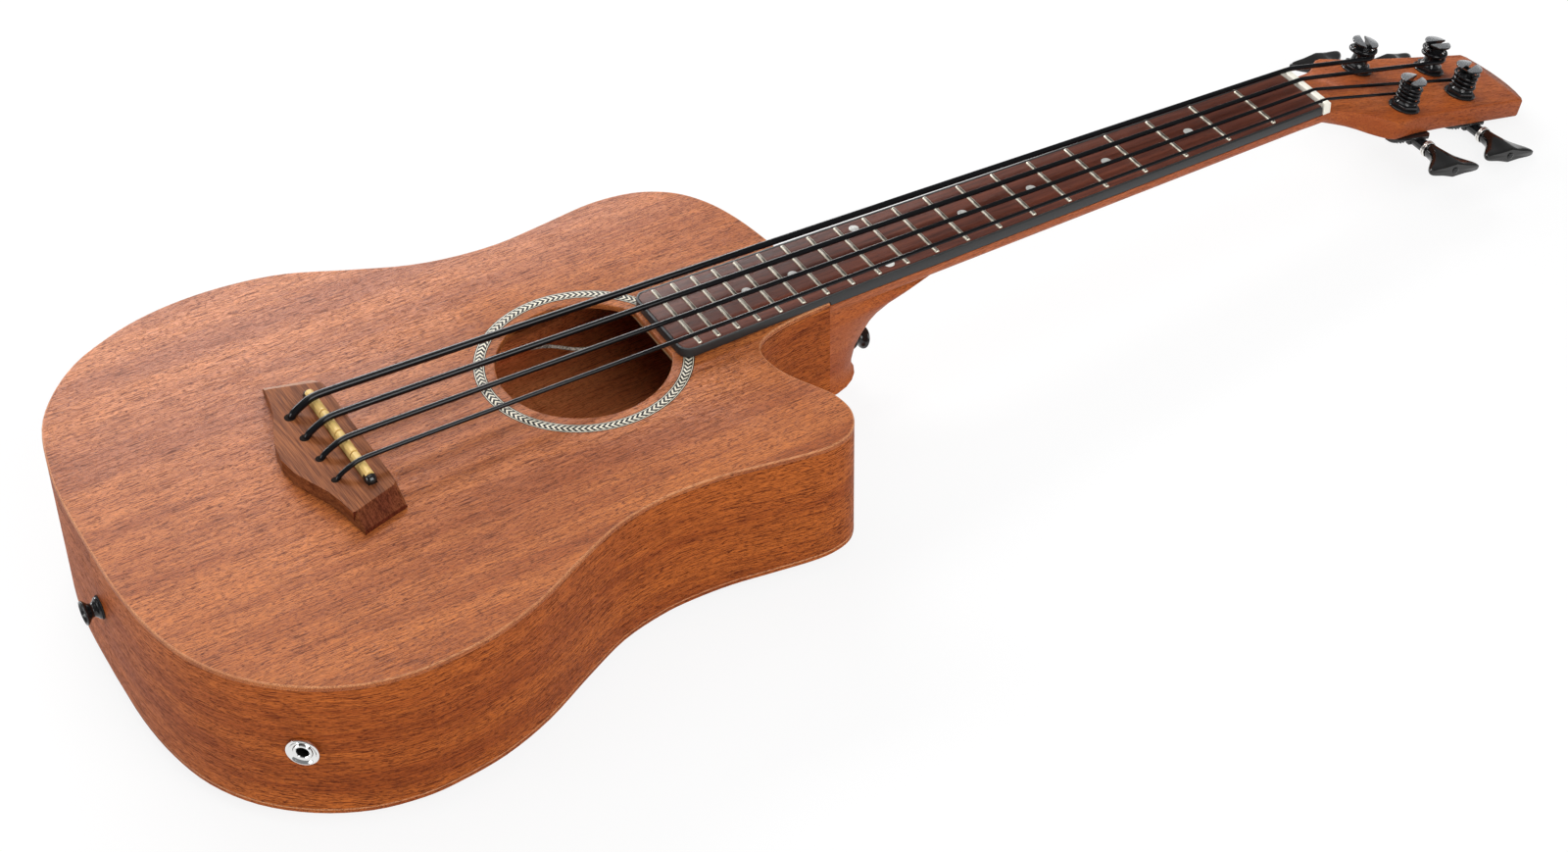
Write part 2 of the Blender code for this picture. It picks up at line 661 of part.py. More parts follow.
routes = {name: string_route(name, r, yb, yn) for name, r, yb, yn in STRINGS}
string_ways = {}
for name, r, yb, yn in STRINGS:
    string_ways[name] = (
        solid_cord([p for p in routes[name] if p[0] < 0.02], r + 2 * GAP),
        solid_cord([p for p in routes[name] if NUT_X - 0.08 < p[0] < NUT_X + 0.02], r + 1.5 * GAP),
    )
    cord_piece("string_" + name, cord(routes[name], r), "black_rubber")

# Pickup lead, from under the saddle through the bridge and the top and round to the jack
lead_top = BRIDGE_TALL - SLOT_DEPTH - GAP
lead_end = jack_frame @ Vector((0, 0, -JACK_LONG - GAP))
lead_near = jack_frame @ Vector((0, 0, -JACK_LONG - 0.006))
lead_points = [(LEAD_AT[0], LEAD_AT[1], lead_top), (LEAD_AT[0], LEAD_AT[1], lead_top - 0.006),
               (LEAD_AT[0], LEAD_AT[1] + 0.0002, -0.0080)]
lead_points += list(LEAD_ROUTE) + [tuple(lead_near), tuple(lead_end)]
lead_line = catmull(lead_points, 2)
cord_piece("pickup_lead", cord(lead_line, LEAD_RADIUS, 2), "lead")
lead_hole = LEAD_RADIUS + FIT
lead_way = moved(turned([(0, -0.02), (lead_hole, -0.02), (lead_hole, 0.02), (0, 0.02)], 12),
                 Matrix.Translation((LEAD_AT[0], LEAD_AT[1], 0)))

# Top and back plates
top = prism(outline, top_low, 0)
hole_plan = []
for k in range(36):
    a = 2 * pi * k / 36
    hole_plan.append((min(HOLE_X + HOLE_RADIUS * cos(a), HOLE_CHORD_X), HOLE_RADIUS * sin(a)))
hole = prism(hole_plan, -0.02, 0.02)
groove = moved(turned([
    (ROSETTE_INNER - GAP, -ROSETTE_THICK - GAP), (ROSETTE_OUTER + GAP, -ROSETTE_THICK - GAP),
    (ROSETTE_OUTER + GAP, 0.002), (ROSETTE_INNER - GAP, 0.002)], 36), Matrix.Translation((HOLE_X, 0, 0)))
piece("top_plate", combine(top, [hole, groove, lead_way.copy()], "DIFFERENCE"), "mahogany")
rosette = turned([
    (ROSETTE_INNER, -ROSETTE_THICK), (ROSETTE_OUTER, -ROSETTE_THICK), (ROSETTE_OUTER, 0), (ROSETTE_INNER, 0)], 36)
piece("rosette", moved(rosette, Matrix.Translation((HOLE_X, 0, 0))), "inlay")
piece("back_plate", prism(outline, back_z, lambda x: back_z(x) + BACK_THICK), "mahogany")
plate_x = (BRIDGE_HEAD_X - 0.0314) / 2
bridge_plate = block(plate_x - PLATE_LONG / 2, plate_x + PLATE_LONG / 2, -PLATE_HALF, PLATE_HALF,
                     under_top(0) - PLATE_THICK, under_top(0))
piece("bridge_plate", combine(bridge_plate, [lead_way.copy()], "DIFFERENCE"), "spruce")

# Bridge: bevelled ends, belly toward the tail, slot for the saddle, one hole for each string
half_plan = list(BRIDGE_TAIL) + [(-y, x) for y, x in BRIDGE_TAIL[-2::-1]]
low_plan = [(BRIDGE_HEAD_X, -BRIDGE_HEAD_HALF), (BRIDGE_HEAD_X, BRIDGE_HEAD_HALF)] + [(x, y) for y, x in half_plan]
foot = 0.0024
high_plan = [(x, max(min(y, BRIDGE_TOP_HALF), -BRIDGE_TOP_HALF)) for x, y in low_plan[2:]]
high_plan = [(BRIDGE_HEAD_X, -BRIDGE_TOP_HEAD), (BRIDGE_HEAD_X, BRIDGE_TOP_HEAD)] + high_plan
bridge = loft([[(x, y, GAP) for x, y in low_plan], [(x, y, GAP + foot) for x, y in low_plan],
               [(x, y, BRIDGE_TALL) for x, y in high_plan]])
slot_half = SADDLE_HALF + GAP + STRIP_END + GAP
saddle_slot = block(-SADDLE_THICK / 2 - GAP, SADDLE_THICK / 2 + GAP, -slot_half, slot_half,
                    BRIDGE_TALL - SLOT_DEPTH, BRIDGE_TALL + 0.01)
cuts = [saddle_slot, lead_way] + [string_ways[name][0] for name, *_ in STRINGS]
piece("bridge", combine(bridge, cuts, "DIFFERENCE"), "bridge_wood")
strip_low = BRIDGE_TALL - SLOT_DEPTH + GAP
strip_out = slot_half - GAP
strip_in = strip_out - STRIP_END
strip_side = [
    (-strip_out, strip_low), (strip_out, strip_low), (strip_out, BRIDGE_TALL), (strip_out - 0.0007, BRIDGE_TALL + 0.0012),
    (strip_in, BRIDGE_TALL + 0.0014), (strip_in, strip_low + STRIP_TALL), (-strip_in, strip_low + STRIP_TALL),
    (-strip_in, BRIDGE_TALL + 0.0014), (-strip_out + 0.0007, BRIDGE_TALL + 0.0012), (-strip_out, BRIDGE_TALL)]
strip = loft([[(x, y, z) for y, z in strip_side] for x in (-SADDLE_THICK / 2, SADDLE_THICK / 2)])
piece("pickup_strip", strip, "black_plastic")
saddle_low = strip_low + STRIP_TALL + GAP
half = SADDLE_THICK / 2
saddle_end = [(-half, saddle_low), (half, saddle_low), (half, SADDLE_TOP - 0.0016), (half * 0.55, SADDLE_TOP - 0.0004),
              (0, SADDLE_TOP), (-half * 0.55, SADDLE_TOP - 0.0004), (-half, SADDLE_TOP - 0.0016)]
saddle = loft([[(x, y, z) for x, z in saddle_end] for y in (-SADDLE_HALF, SADDLE_HALF)])
slits = []
for (_, _, a, _), (_, _, b, _) in zip(STRINGS, STRINGS[1:]):
    y = (a + b) / 2
    slits.append(block(-0.01, 0.01, y - SADDLE_SLIT / 2, y + SADDLE_SLIT / 2, SADDLE_TOP - 0.0042, SADDLE_TOP + 0.01))
piece("saddle", combine(saddle, slits, "DIFFERENCE"), "cream")


# Fretboard with its frets, in a black binding that goes round its tail end
def board_half(x):
    return BOARD_HALF_NUT + (BOARD_HALF_END - BOARD_HALF_NUT) * (NUT_X - x) / (NUT_X - BOARD_END_X)


STEP_X = BODY_END_X + 0.0002


def board_under(x):
    return GAP if x < STEP_X + 0.00025 else board_low(x)


def board_edge(inset):
    """one long edge with its rounded corner, from the tail end to the nut"""
    corner = BOARD_CORNER - inset
    x0, edge = BOARD_END_X + inset, board_half(BOARD_END_X) - inset
    line = [(x0, edge - corner)]
    for a in (22.5, 45, 67.5):
        line.append((x0 + corner - corner * cos(radians(a)), edge - corner + corner * sin(radians(a))))
    middle = (x0 + corner + STEP_X) / 2
    third = (NUT_X - STEP_X) / 3
    for x in (x0 + corner, middle, STEP_X, STEP_X + 0.0005, STEP_X + third, NUT_X - third, NUT_X - GAP):
        line.append((x, board_half(x) - inset))
    return line


core = board_edge(BINDING_WIDE + GAP)
board = loft([[(x, y, board_under(x)), (x, -y, board_under(x)), (x, -y, board_top(x)), (x, y, board_top(x))]
              for x, y in core])
frets = []
for n in range(1, FRETS + 1):
    x = NUT_X - SCALE * (1 - 2 ** (-n / 12))
    if x < BOARD_END_X + BOARD_CORNER:
        break
    h, w = FRET_WIDE / 2, board_half(x) - BINDING_WIDE - GAP - 0.0004
    z = board_top(x)
    side_view = [(x - h, z - 0.0006), (x + h, z - 0.0006), (x + h, z + 0.0002), (x + h * 0.45, z + FRET_TALL),
                 (x - h * 0.45, z + FRET_TALL), (x - h, z + 0.0002)]
    frets.append(loft([[(a, y, b) for a, b in side_view] for y in (-w, w)]))
piece("fretboard", combine(board, [gathered(frets)], "UNION"), "rosewood")
outer = board_edge(0)
binding_line = outer[::-1] + [(x, -y) for x, y in outer]
binding = wall(stations(binding_line, 1), 0, BINDING_WIDE, board_under, board_top)
piece("fretboard_binding", binding, "dark_binding")


# Neck: one body with its heel and the tilted headstock
# The slab's half section from its upper edge to the middle of its back: share of the width and inset
SLAB = (
    (1.0, (0.0, 0.0)), (1.0, (0.0, 0.0016)), (1.0, (0.0005, 0.0005)), (1.0, (0.0016, 0.0)),
    (0.62, (0.0, 0.0)), (0.22, (0.0, 0.0)),
)


def section(origin, tilt, half_wide, deep, power, square=0.0, count=11):
    """almost flat on top and rounded below, or square with small corners where square is 1"""
    ring_points = []
    for k in range(CROWN_STEPS - 1, 0, -1):
        y = half_wide * (1 - 2 * k / CROWN_STEPS)
        n = CROWN * (1 - (y / half_wide) ** 2)
        ring_points.append(Vector((n * sin(tilt), y, n * cos(tilt))) + Vector(origin))
    for k in range(count + 1):
        t = pi * k / count
        y = half_wide * (1 if cos(t) > 0 else -1) * abs(cos(t)) ** (2 / power) if abs(cos(t)) > 1e-9 else 0.0
        n = -deep * sin(t) ** (2 / power) if sin(t) > 1e-9 else 0.0
        share_y, drop = SLAB[min(k, count - k)]
        slab_y = (half_wide - drop[0]) * share_y * (1 if 2 * k < count else -1)
        slab_n = min(drop[1] - deep, 0) if k not in (0, count) else 0.0
        y += (slab_y - y) * square
        n += (slab_n - n) * square
        ring_points.append(Vector((n * sin(tilt), y, n * cos(tilt))) + Vector(origin))
    return ring_points


def neck_z(x):
    return board_low(x) - GAP


neck_from = BODY_END_X + GAP
rows = []
for share_x in (0, 0.1, 0.25, 0.5, 0.75, 0.92, 0.965):
    x = neck_from + (NUT_X - neck_from) * share_x
    deep = NECK_DEPTH_BODY + (NECK_DEPTH_NUT - NECK_DEPTH_BODY) * share_x
    rows.append(section((x, 0, neck_z(x)), 0, board_half(x) - 0.0001, deep, 2.15))
rows.append(section((NUT_X - 0.0035, 0, neck_z(NUT_X - 0.0035)), radians(4), BOARD_HALF_NUT, NECK_DEPTH_NUT - 0.0002, 2.3))


def head_section(u, half_wide, square, bulge=0.0):
    """a section of the headstock, which past the start of the tip's slope is cut down to it"""
    ring_points = []
    for along, across_v, n in section((u, 0, 0), 0, half_wide, HEAD_THICK, 2.6, square):
        along += bulge * (1 - (across_v / half_wide) ** 2)
        n = min(n, -TIP_SLOPE * max(along - tip_from, 0))
        ring_points.append(HEAD @ Vector((along, across_v, n)))
    return ring_points


tip_from = HEAD_LONG - TIP_LONG
for k, (u, half_wide) in enumerate(HEAD_HALF[:-1]):
    rows.append(head_section(u, half_wide, min(k / 5, 1)))
taper = (HEAD_HALF[-1][1] - HEAD_HALF[-2][1]) / (HEAD_HALF[-1][0] - HEAD_HALF[-2][0])
for share_u in (0, 0.3, 0.7, 0.92, 1.0):
    u = tip_from + (HEAD_LONG - tip_from) * share_u
    wide = HEAD_HALF[-1][1] + taper * (u - HEAD_HALF[-1][0])
    from_end = HEAD_LONG - u
    round_in = TIP_ROUND - (TIP_ROUND ** 2 - max(TIP_ROUND - from_end, 0) ** 2) ** 0.5
    rows.append(head_section(u, wide - round_in, 1, TIP_BULGE * share_u))
neck = loft(rows)

HEEL = (
    (-0.0075, 0.0235, 0.0500), (-0.0145, 0.0240, 0.0640), (-0.0190, 0.0243, 0.0905), (-0.0215, 0.0241, 0.0792),
    (-0.0245, 0.0238, 0.0635), (-0.0285, 0.0232, 0.0518), (-0.0330, 0.0225, 0.0442), (-0.0380, 0.0216, 0.0392),
    (-0.0440, 0.0208, 0.0343), (-0.0510, 0.0203, 0.0293), (-0.0600, 0.0200, 0.0266), (-0.0680, 0.0200, 0.0262),
)
HEEL_POINTED = 1.3
HEEL_ROUND = 0.92
HEEL_FOOT = (0.0212, 0.0282)
heel_rows = []
for row, (z, half_wide, long) in enumerate(HEEL):
    bend = HEEL_POINTED + (HEEL_ROUND - HEEL_POINTED) * row / len(HEEL)
    ring_points = []
    for k in range(13):
        t = -pi / 2 + pi * k / 12
        ring_points.append((neck_from + long * max(cos(t), 0) ** bend, half_wide * sin(t), z))
    heel_rows.append(ring_points)
last = []
for k in range(13):
    t = -pi / 2 + pi * k / 12
    x = neck_from + HEEL_FOOT[1] * max(cos(t), 0) ** HEEL_ROUND
    last.append((x, HEEL_FOOT[0] * sin(t), back_z(x) + 0.0006))
heel_rows.append(last)
heel = loft(heel_rows)


def heel_long(z):
    for (z0, _, l0), (z1, _, l1) in zip(HEEL, HEEL[1:]):
        if z1 <= z <= z0:
            return l0 + (l1 - l0) * (z - z0) / (z1 - z0), (l0 - l1) / (z0 - z1)
    return HEEL[-1][2], 0


heel_out, heel_slope = heel_long(HEEL_BUTTON_Z)
button_way = Vector((1, 0, -heel_slope)).normalized()
heel_frame = facing(button_way, (neck_from + heel_out + 0.0002, 0, HEEL_BUTTON_Z))
piece("strap_button_heel", moved(turned(BUTTON, 16), heel_frame), "black_plate")
channel_half = ROD_RADIUS + GAP
channel = [(ROD_FROM_X - GAP, -channel_half), (ROD_TO_X + GAP, -channel_half),
           (ROD_TO_X + GAP, channel_half), (ROD_FROM_X - GAP, channel_half)]
rod_cut = prism(channel, lambda x: neck_z(x) - 2 * channel_half, lambda x: neck_z(x) + 0.004)
neck = combine(neck, [heel], "UNION")
post_ways = []
for name, (u, v) in POST_PLACE.items():
    way = turned([(0, -HEAD_THICK - 0.01), (POST_RADIUS + FIT, -HEAD_THICK - 0.01),
                  (POST_RADIUS + FIT, 0.01), (0, 0.01)], 14)
    post_ways.append(moved(way, HEAD @ Matrix.Translation((u, v, 0))))
heel_way = moved(turned(screw_way, 12), heel_frame)
piece("neck", combine(neck, [rod_cut, heel_way] + post_ways, "DIFFERENCE"), "neck_wood")
rod_from = Vector((ROD_FROM_X, 0, neck_z(ROD_FROM_X) - GAP - ROD_RADIUS))
rod_to = Vector((ROD_TO_X, 0, neck_z(ROD_TO_X) - GAP - ROD_RADIUS))
rod_long = (rod_to - rod_from).length
rod = turned([(0, 0), (ROD_RADIUS - 0.0001, 0), (ROD_RADIUS - 0.0001, rod_long), (0, rod_long)], 12)
piece("truss_rod", moved(rod, facing(rod_to - rod_from, rod_from)), "steel")
nut_low = board_low(NUT_X)
nut_top = board_top(NUT_X) + NUT_RISE + 0.0016
nut_half = BOARD_HALF_NUT + 0.0002
nut_side = [(NUT_X + GAP, nut_low), (NUT_X + GAP + NUT_THICK - GAP, nut_low), (NUT_X + NUT_THICK, nut_top - 0.0014),
            (NUT_X + NUT_THICK - 0.0012, nut_top - 0.0002), (NUT_X + GAP + 0.0006, nut_top), (NUT_X + GAP, nut_top - 0.0005)]
nut = loft([[(x, y, z) for x, z in nut_side] for y in (-nut_half, nut_half)])
piece("nut", combine(nut, [string_ways[name][1] for name, *_ in STRINGS], "DIFFERENCE"), "bone")

# Tuners. In the frame of a post: u along the head, v outward, n up from the face
CENTRES = WHEEL_RADIUS + WORM_RADIUS
LEAD = 2 * pi * WHEEL_RADIUS / WHEEL_TEETH
WORM_OUTER = WORM_RADIUS + TOOTH_HALF
plate_top = -HEAD_THICK - GAP
plate_low = plate_top - TUNER_PLATE_THICK
axis_n = plate_low - GAP - WORM_OUTER
lug_from = WORM_LONG / 2 + 0.0008
lug_low = axis_n - SHAFT_RADIUS - 0.0014


def across(mesh, v=0.0):
    """turns a piece made about Z so that it lies along v at the worm's axis"""
    return moved(mesh, Matrix.Translation((CENTRES, v, axis_n)) @ Matrix.Rotation(-pi / 2, 4, "X"))


def plate_mesh():
    plan = [(-PLATE_BACK, -PLATE_INNER + 0.003), (-PLATE_BACK + 0.003, -PLATE_INNER), (PLATE_FRONT - 0.003, -PLATE_INNER),
            (PLATE_FRONT, -PLATE_INNER + 0.003), (PLATE_FRONT, PLATE_OUTER - 0.003), (PLATE_FRONT - 0.003, PLATE_OUTER),
            (-PLATE_BACK + 0.003, PLATE_OUTER), (-PLATE_BACK, PLATE_OUTER - 0.003)]
    mesh = prism(plan, plate_low, plate_top)
    lugs = []
    for sign in (-1, 1):
        v0, v1 = sorted((sign * lug_from, sign * (lug_from + LUG_THICK)))
        lugs.append(block(CENTRES - 0.0036, CENTRES + 0.0044, v0, v1, lug_low, plate_low + 0.0008))
    mesh = combine(mesh, lugs, "UNION")
    post_way = turned([(0, -0.03), (POST_RADIUS + FIT, -0.03), (POST_RADIUS + FIT, 0), (0, 0)], 14)
    shaft_way = across(turned([(0, -0.02), (SHAFT_RADIUS + GAP, -0.02), (SHAFT_RADIUS + GAP, 0.02), (0, 0.02)], 10))
    return combine(mesh, [post_way, shaft_way], "DIFFERENCE")


def bushing_mesh():
    bore = POST_RADIUS + FIT
    hexagon = [(NUT_FLATS / cos(pi / 6) * cos(pi * k / 3 + 0.3), NUT_FLATS / cos(pi / 6) * sin(pi * k / 3 + 0.3))
               for k in range(6)]
    mesh = prism(hexagon, GAP + WASHER_TALL - 0.0002, GAP + WASHER_TALL + NUT_TALL)
    washer = turned([(0, GAP), (WASHER_RADIUS, GAP), (WASHER_RADIUS, GAP + WASHER_TALL), (0, GAP + WASHER_TALL)], 16)
    mesh = combine(washer, [mesh], "UNION")
    way = turned([(0, -0.01), (bore, -0.01), (bore, 0.01), (0, 0.01)], 12)
    return combine(mesh, [way], "DIFFERENCE")


def post_mesh():
    wheel_high = axis_n + WHEEL_THICK / 2
    wheel_low = axis_n - WHEEL_THICK / 2
    profile = [(0, wheel_low - 0.0021), (0.0038, wheel_low - 0.0021), (0.0038, wheel_low - GAP), (0.0025, wheel_low - GAP), (0.0025, wheel_high + GAP),
               (POST_RADIUS, wheel_high + GAP), (POST_RADIUS, POST_LINE[0][0] - 0.0002)]
    profile += [(r, n) for n, r in POST_LINE]
    profile += [(PRONG_RADIUS - 0.0006, FLARE + 0.0004), (PRONG_RADIUS, FLARE + 0.0009),
                (PRONG_RADIUS, POST_TOP - 0.0003), (PRONG_RADIUS - 0.0004, POST_TOP), (0, POST_TOP)]
    mesh = turned(profile, 12)
    slot = block(-0.012, 0.012, -SLOT_WIDE / 2, SLOT_WIDE / 2, POST_TOP - SLOT_TALL, POST_TOP + 0.01)
    return combine(mesh, [slot], "DIFFERENCE")


def wheel_mesh():
    rim, root = WHEEL_RADIUS + TOOTH_HALF, WHEEL_RADIUS - TOOTH_HALF - GAP
    bore = 0.0025 + GAP
    step = 2 * pi / WHEEL_TEETH
    twist = 1 / (WHEEL_TEETH * WORM_RADIUS)
    rings = []
    for n in (axis_n - WHEEL_THICK / 2, axis_n + WHEEL_THICK / 2):
        points = []
        for k in range(WHEEL_TEETH):
            # at rest the thread of the worm lies in a gap a quarter of a tooth to one side
            middle = (k + 0.25) * step + twist * (n - axis_n)
            for r, share_a in ((root, -0.27), (rim, -0.13), (rim, 0.13), (root, 0.27)):
                a = middle + share_a * step
                points.append((r * cos(a), r * sin(a), n))
        rings.append(points)
    mesh = loft(rings)
    way = turned([(0, -0.05), (bore, -0.05), (bore, 0), (0, 0)], 12)
    return combine(mesh, [way], "DIFFERENCE")


def worm_mesh():
    inner = -(lug_from + LUG_THICK + GAP)
    outer_v = lug_from + LUG_THICK + GAP
    end = COLLAR_FROM + COLLAR_LONG
    profile = [(0, inner - 0.0016), (0.0034, inner - 0.0016), (0.0034, inner), (SHAFT_RADIUS, inner),
               (SHAFT_RADIUS, outer_v), (STEM_RADIUS, outer_v), (STEM_RADIUS, COLLAR_FROM),
               (COLLAR_RADIUS, COLLAR_FROM), (COLLAR_RADIUS, end), (0.0025, end), (0.0025, end + 0.0060),
               (0, end + 0.0060)]
    core = turned(profile, 11)
    turns = (WORM_LONG - 0.0022) / LEAD
    steps = round(turns * 10)
    rings = []
    for k in range(-steps // 2, steps - steps // 2 + 1):
        a = 2 * pi * (k + 0.5) / 10
        middle = LEAD * (k + 0.5) / 10
        out = Vector((sin(a), cos(a)))
        points = []
        for r, share_v in ((SHAFT_RADIUS - 0.0004, -0.31), (WORM_OUTER, -0.12),
                           (WORM_OUTER, 0.12), (SHAFT_RADIUS - 0.0004, 0.31)):
            points.append((out[0] * r, middle + share_v * LEAD, out[1] * r))
        rings.append(points)
    thread = loft(rings)
    thread = moved(thread, Matrix.Rotation(pi / 2, 4, "X"))
    mesh = combine(core, [thread], "UNION")
    return across(mesh)


def key_mesh():
    start = COLLAR_FROM + COLLAR_LONG + GAP
    shape = ((0, 0.0043, 0.0043, 2.0), (0.16, 0.0048, 0.0045, 2.0), (0.34, 0.0068, 0.0049, 1.9),
             (0.53, 0.0108, 0.0052, 1.8), (0.73, 0.0162, 0.0050, 1.6), (0.88, KEY_HALF, 0.0042, 1.6),
             (1.0, KEY_HALF - 0.0010, 0.0026, 1.6))
    rings = []
    for share_v, wide, thick, power in shape:
        v = start + KEY_LONG * share_v
        points = []
        for k in range(16):
            t = 2 * pi * k / 16
            c, s = cos(t), sin(t)
            u = wide * (1 if c > 0 else -1) * abs(c) ** (2 / power) if abs(c) > 1e-9 else 0.0
            n = thick * (1 if s > 0 else -1) * abs(s) ** (2 / power) if abs(s) > 1e-9 else 0.0
            points.append((CENTRES + u, v, axis_n + n))
        rings.append(points)
    mesh = loft(rings)
    socket = across(turned([(0, start - 0.004), (0.0028, start - 0.004), (0.0028, start + 0.0061), (0, start + 0.0061)], 10))
    return combine(mesh, [socket], "DIFFERENCE")


made = {
    "tuner_plate": (plate_mesh(), "black_plate"), "tuner_nut": (bushing_mesh(), "black_plate"),
    "string_post": (post_mesh(), "black_plate"), "worm_wheel": (wheel_mesh(), "black_plate"),
    "worm_shaft": (worm_mesh(), "black_plate"), "tuner_key": (key_mesh(), "black_plastic"),
}
for name, (u, v) in POST_PLACE.items():
    side = 1 if v > 0 else -1
    for kind, (mesh, look) in made.items():
        shape = moved(mesh.copy(), Matrix.Diagonal((1, side, 1, 1)))
        if kind in ("worm_shaft", "tuner_key"):
            # these turn about the worm's axis, so their origin is on it
            shape.transform(Matrix.Translation((-CENTRES, 0, -axis_n)))
            if kind == "tuner_key":
                shape.transform(Matrix.Rotation(-radians(KEY_TURN[name]), 4, "Y"))
            piece(kind + "_" + name, shape, look, head_frame, (u + CENTRES, v, axis_n))
        else:
            if kind == "string_post":
                shape.transform(Matrix.Rotation(radians(POST_TURN[name]), 4, "Z"))
            piece(kind + "_" + name, shape, look, head_frame, (u, v, 0))
bpy.context.view_layer.update()
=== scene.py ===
"""Bass ukulele with a cutaway body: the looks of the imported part.

The instrument lies on its back, with +X from the tail to the head and +Y to the bass side. Lengths are in metres.
"""

from math import acos, atan, cos, hypot, pi, radians, sin

import bmesh
import bpy
from mathutils import Matrix, Vector


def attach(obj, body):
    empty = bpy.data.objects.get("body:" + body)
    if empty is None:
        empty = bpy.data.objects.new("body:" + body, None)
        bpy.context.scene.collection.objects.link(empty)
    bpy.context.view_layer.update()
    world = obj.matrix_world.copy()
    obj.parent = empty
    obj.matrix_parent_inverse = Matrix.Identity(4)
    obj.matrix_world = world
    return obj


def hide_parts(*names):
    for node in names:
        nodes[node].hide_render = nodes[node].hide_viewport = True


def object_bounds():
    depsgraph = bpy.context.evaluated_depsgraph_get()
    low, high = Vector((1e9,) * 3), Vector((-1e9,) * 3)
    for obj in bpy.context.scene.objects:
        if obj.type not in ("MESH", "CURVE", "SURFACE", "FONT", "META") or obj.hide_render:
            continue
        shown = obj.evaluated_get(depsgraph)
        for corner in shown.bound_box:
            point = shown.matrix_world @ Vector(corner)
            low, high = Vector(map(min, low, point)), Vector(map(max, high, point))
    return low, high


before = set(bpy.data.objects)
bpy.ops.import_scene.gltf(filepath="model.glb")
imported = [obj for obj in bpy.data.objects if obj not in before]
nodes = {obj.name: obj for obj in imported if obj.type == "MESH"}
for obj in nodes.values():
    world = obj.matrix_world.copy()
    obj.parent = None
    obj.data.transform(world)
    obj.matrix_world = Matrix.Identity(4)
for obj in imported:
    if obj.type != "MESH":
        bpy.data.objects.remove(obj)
cad_box = [list(corner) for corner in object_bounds()]
scene = bpy.context.scene
scene.view_settings.view_transform = "Standard"

# The camera stands where the photo was taken, found from the frets, the bridge and the outline in the picture.
eye = bpy.data.cameras.new("photo_camera")
eye.lens = 70.694063
eye.sensor_width = 36
eye.shift_x = -0.00065231
eye.shift_y = -0.00027632
camera = bpy.data.objects.new("photo_camera", eye)
camera.location = (-0.34027614, -1.10205313, 1.11209513)
camera.rotation_euler = [radians(a) for a in (47.65622653, 2.64455899, -30.76502513)]
scene.collection.objects.link(camera)
scene.camera = camera

# The sides: two strips of mahogany, bent hot to the outline and glued to blocks at the tail and neck.
# The grain follows the bend, so the wood is drawn along each strip's own length. Satin lacquer, open pores.
TAIL_X, BODY_LONG, BODY_WIDE = -0.1335, 0.402, 0.312
TAIL_DEPTH, BACK_TAPER = 0.0885, 0.0422
BODY_END = TAIL_X + BODY_LONG
BASS_DRAWN = (
    (-0.1335, 0.0), (-0.1326, 0.036), (-0.1295, 0.064), (-0.1215, 0.095), (-0.108, 0.1165),
    (-0.090, 0.1335), (-0.070, 0.1440), (-0.048, 0.1513), (-0.022, 0.1545), (0.006, 0.1530),
    (0.034, 0.1465), (0.066, 0.1312), (0.092, 0.1195), (0.116, 0.1132), (0.142, 0.1108),
    (0.168, 0.1130), (0.196, 0.1163), (0.214, 0.1156), (0.229, 0.1118), (0.2415, 0.1045),
    (0.251, 0.0945), (0.2585, 0.0805), (0.2635, 0.0640), (0.2665, 0.0470), (0.2685, 0.0300),
)
TREBLE_DRAWN = (
    (-0.1335, 0.0), (-0.1330, -0.036), (-0.1293, -0.066), (-0.1215, -0.093), (-0.107, -0.1175),
    (-0.086, -0.1375), (-0.062, -0.1510), (-0.038, -0.1570), (-0.018, -0.1575), (0.008, -0.1545),
    (0.036, -0.1455), (0.066, -0.1305), (0.092, -0.1187), (0.116, -0.1137), (0.134, -0.1130),
    (0.156, -0.1147), (0.180, -0.1192), (0.200, -0.1228), (0.2125, -0.1232), (0.2225, -0.1205),
    (0.2290, -0.1145), (0.2328, -0.1065), (0.2335, -0.0985), (0.2318, -0.0890), (0.2275, -0.0800),
    (0.2225, -0.0700), (0.2186, -0.0600), (0.2168, -0.0500), (0.2175, -0.0420), (0.2215, -0.0355),
    (0.2300, -0.0310), (0.2450, -0.0280), (0.2685, -0.0262),
)


class Value:
    """a socket of a material, on which an operator adds its Math node"""

    def __init__(self, tree, socket):
        self.tree, self.socket = tree, socket

    def math(self, kind, *others):
        node = self.tree.nodes.new("ShaderNodeMath")
        node.operation = kind
        for place, given in enumerate((self, *others)):
            if isinstance(given, Value):
                self.tree.links.new(given.socket, node.inputs[place])
            else:
                node.inputs[place].default_value = given
        return Value(self.tree, node.outputs[0])

    def __add__(self, other):
        return self.math("ADD", other)

    def __mul__(self, other):
        return self.math("MULTIPLY", other)

    def __sub__(self, other):
        return self.math("SUBTRACT", other)

    def __rsub__(self, other):
        return (self * -1) + other

    __radd__, __rmul__ = __add__, __mul__

    def parts(self):
        """the three numbers of a vector"""
        node = self.tree.nodes.new("ShaderNodeSeparateXYZ")
        self.tree.links.new(self.socket, node.inputs[0])
        return [Value(self.tree, out) for out in node.outputs]


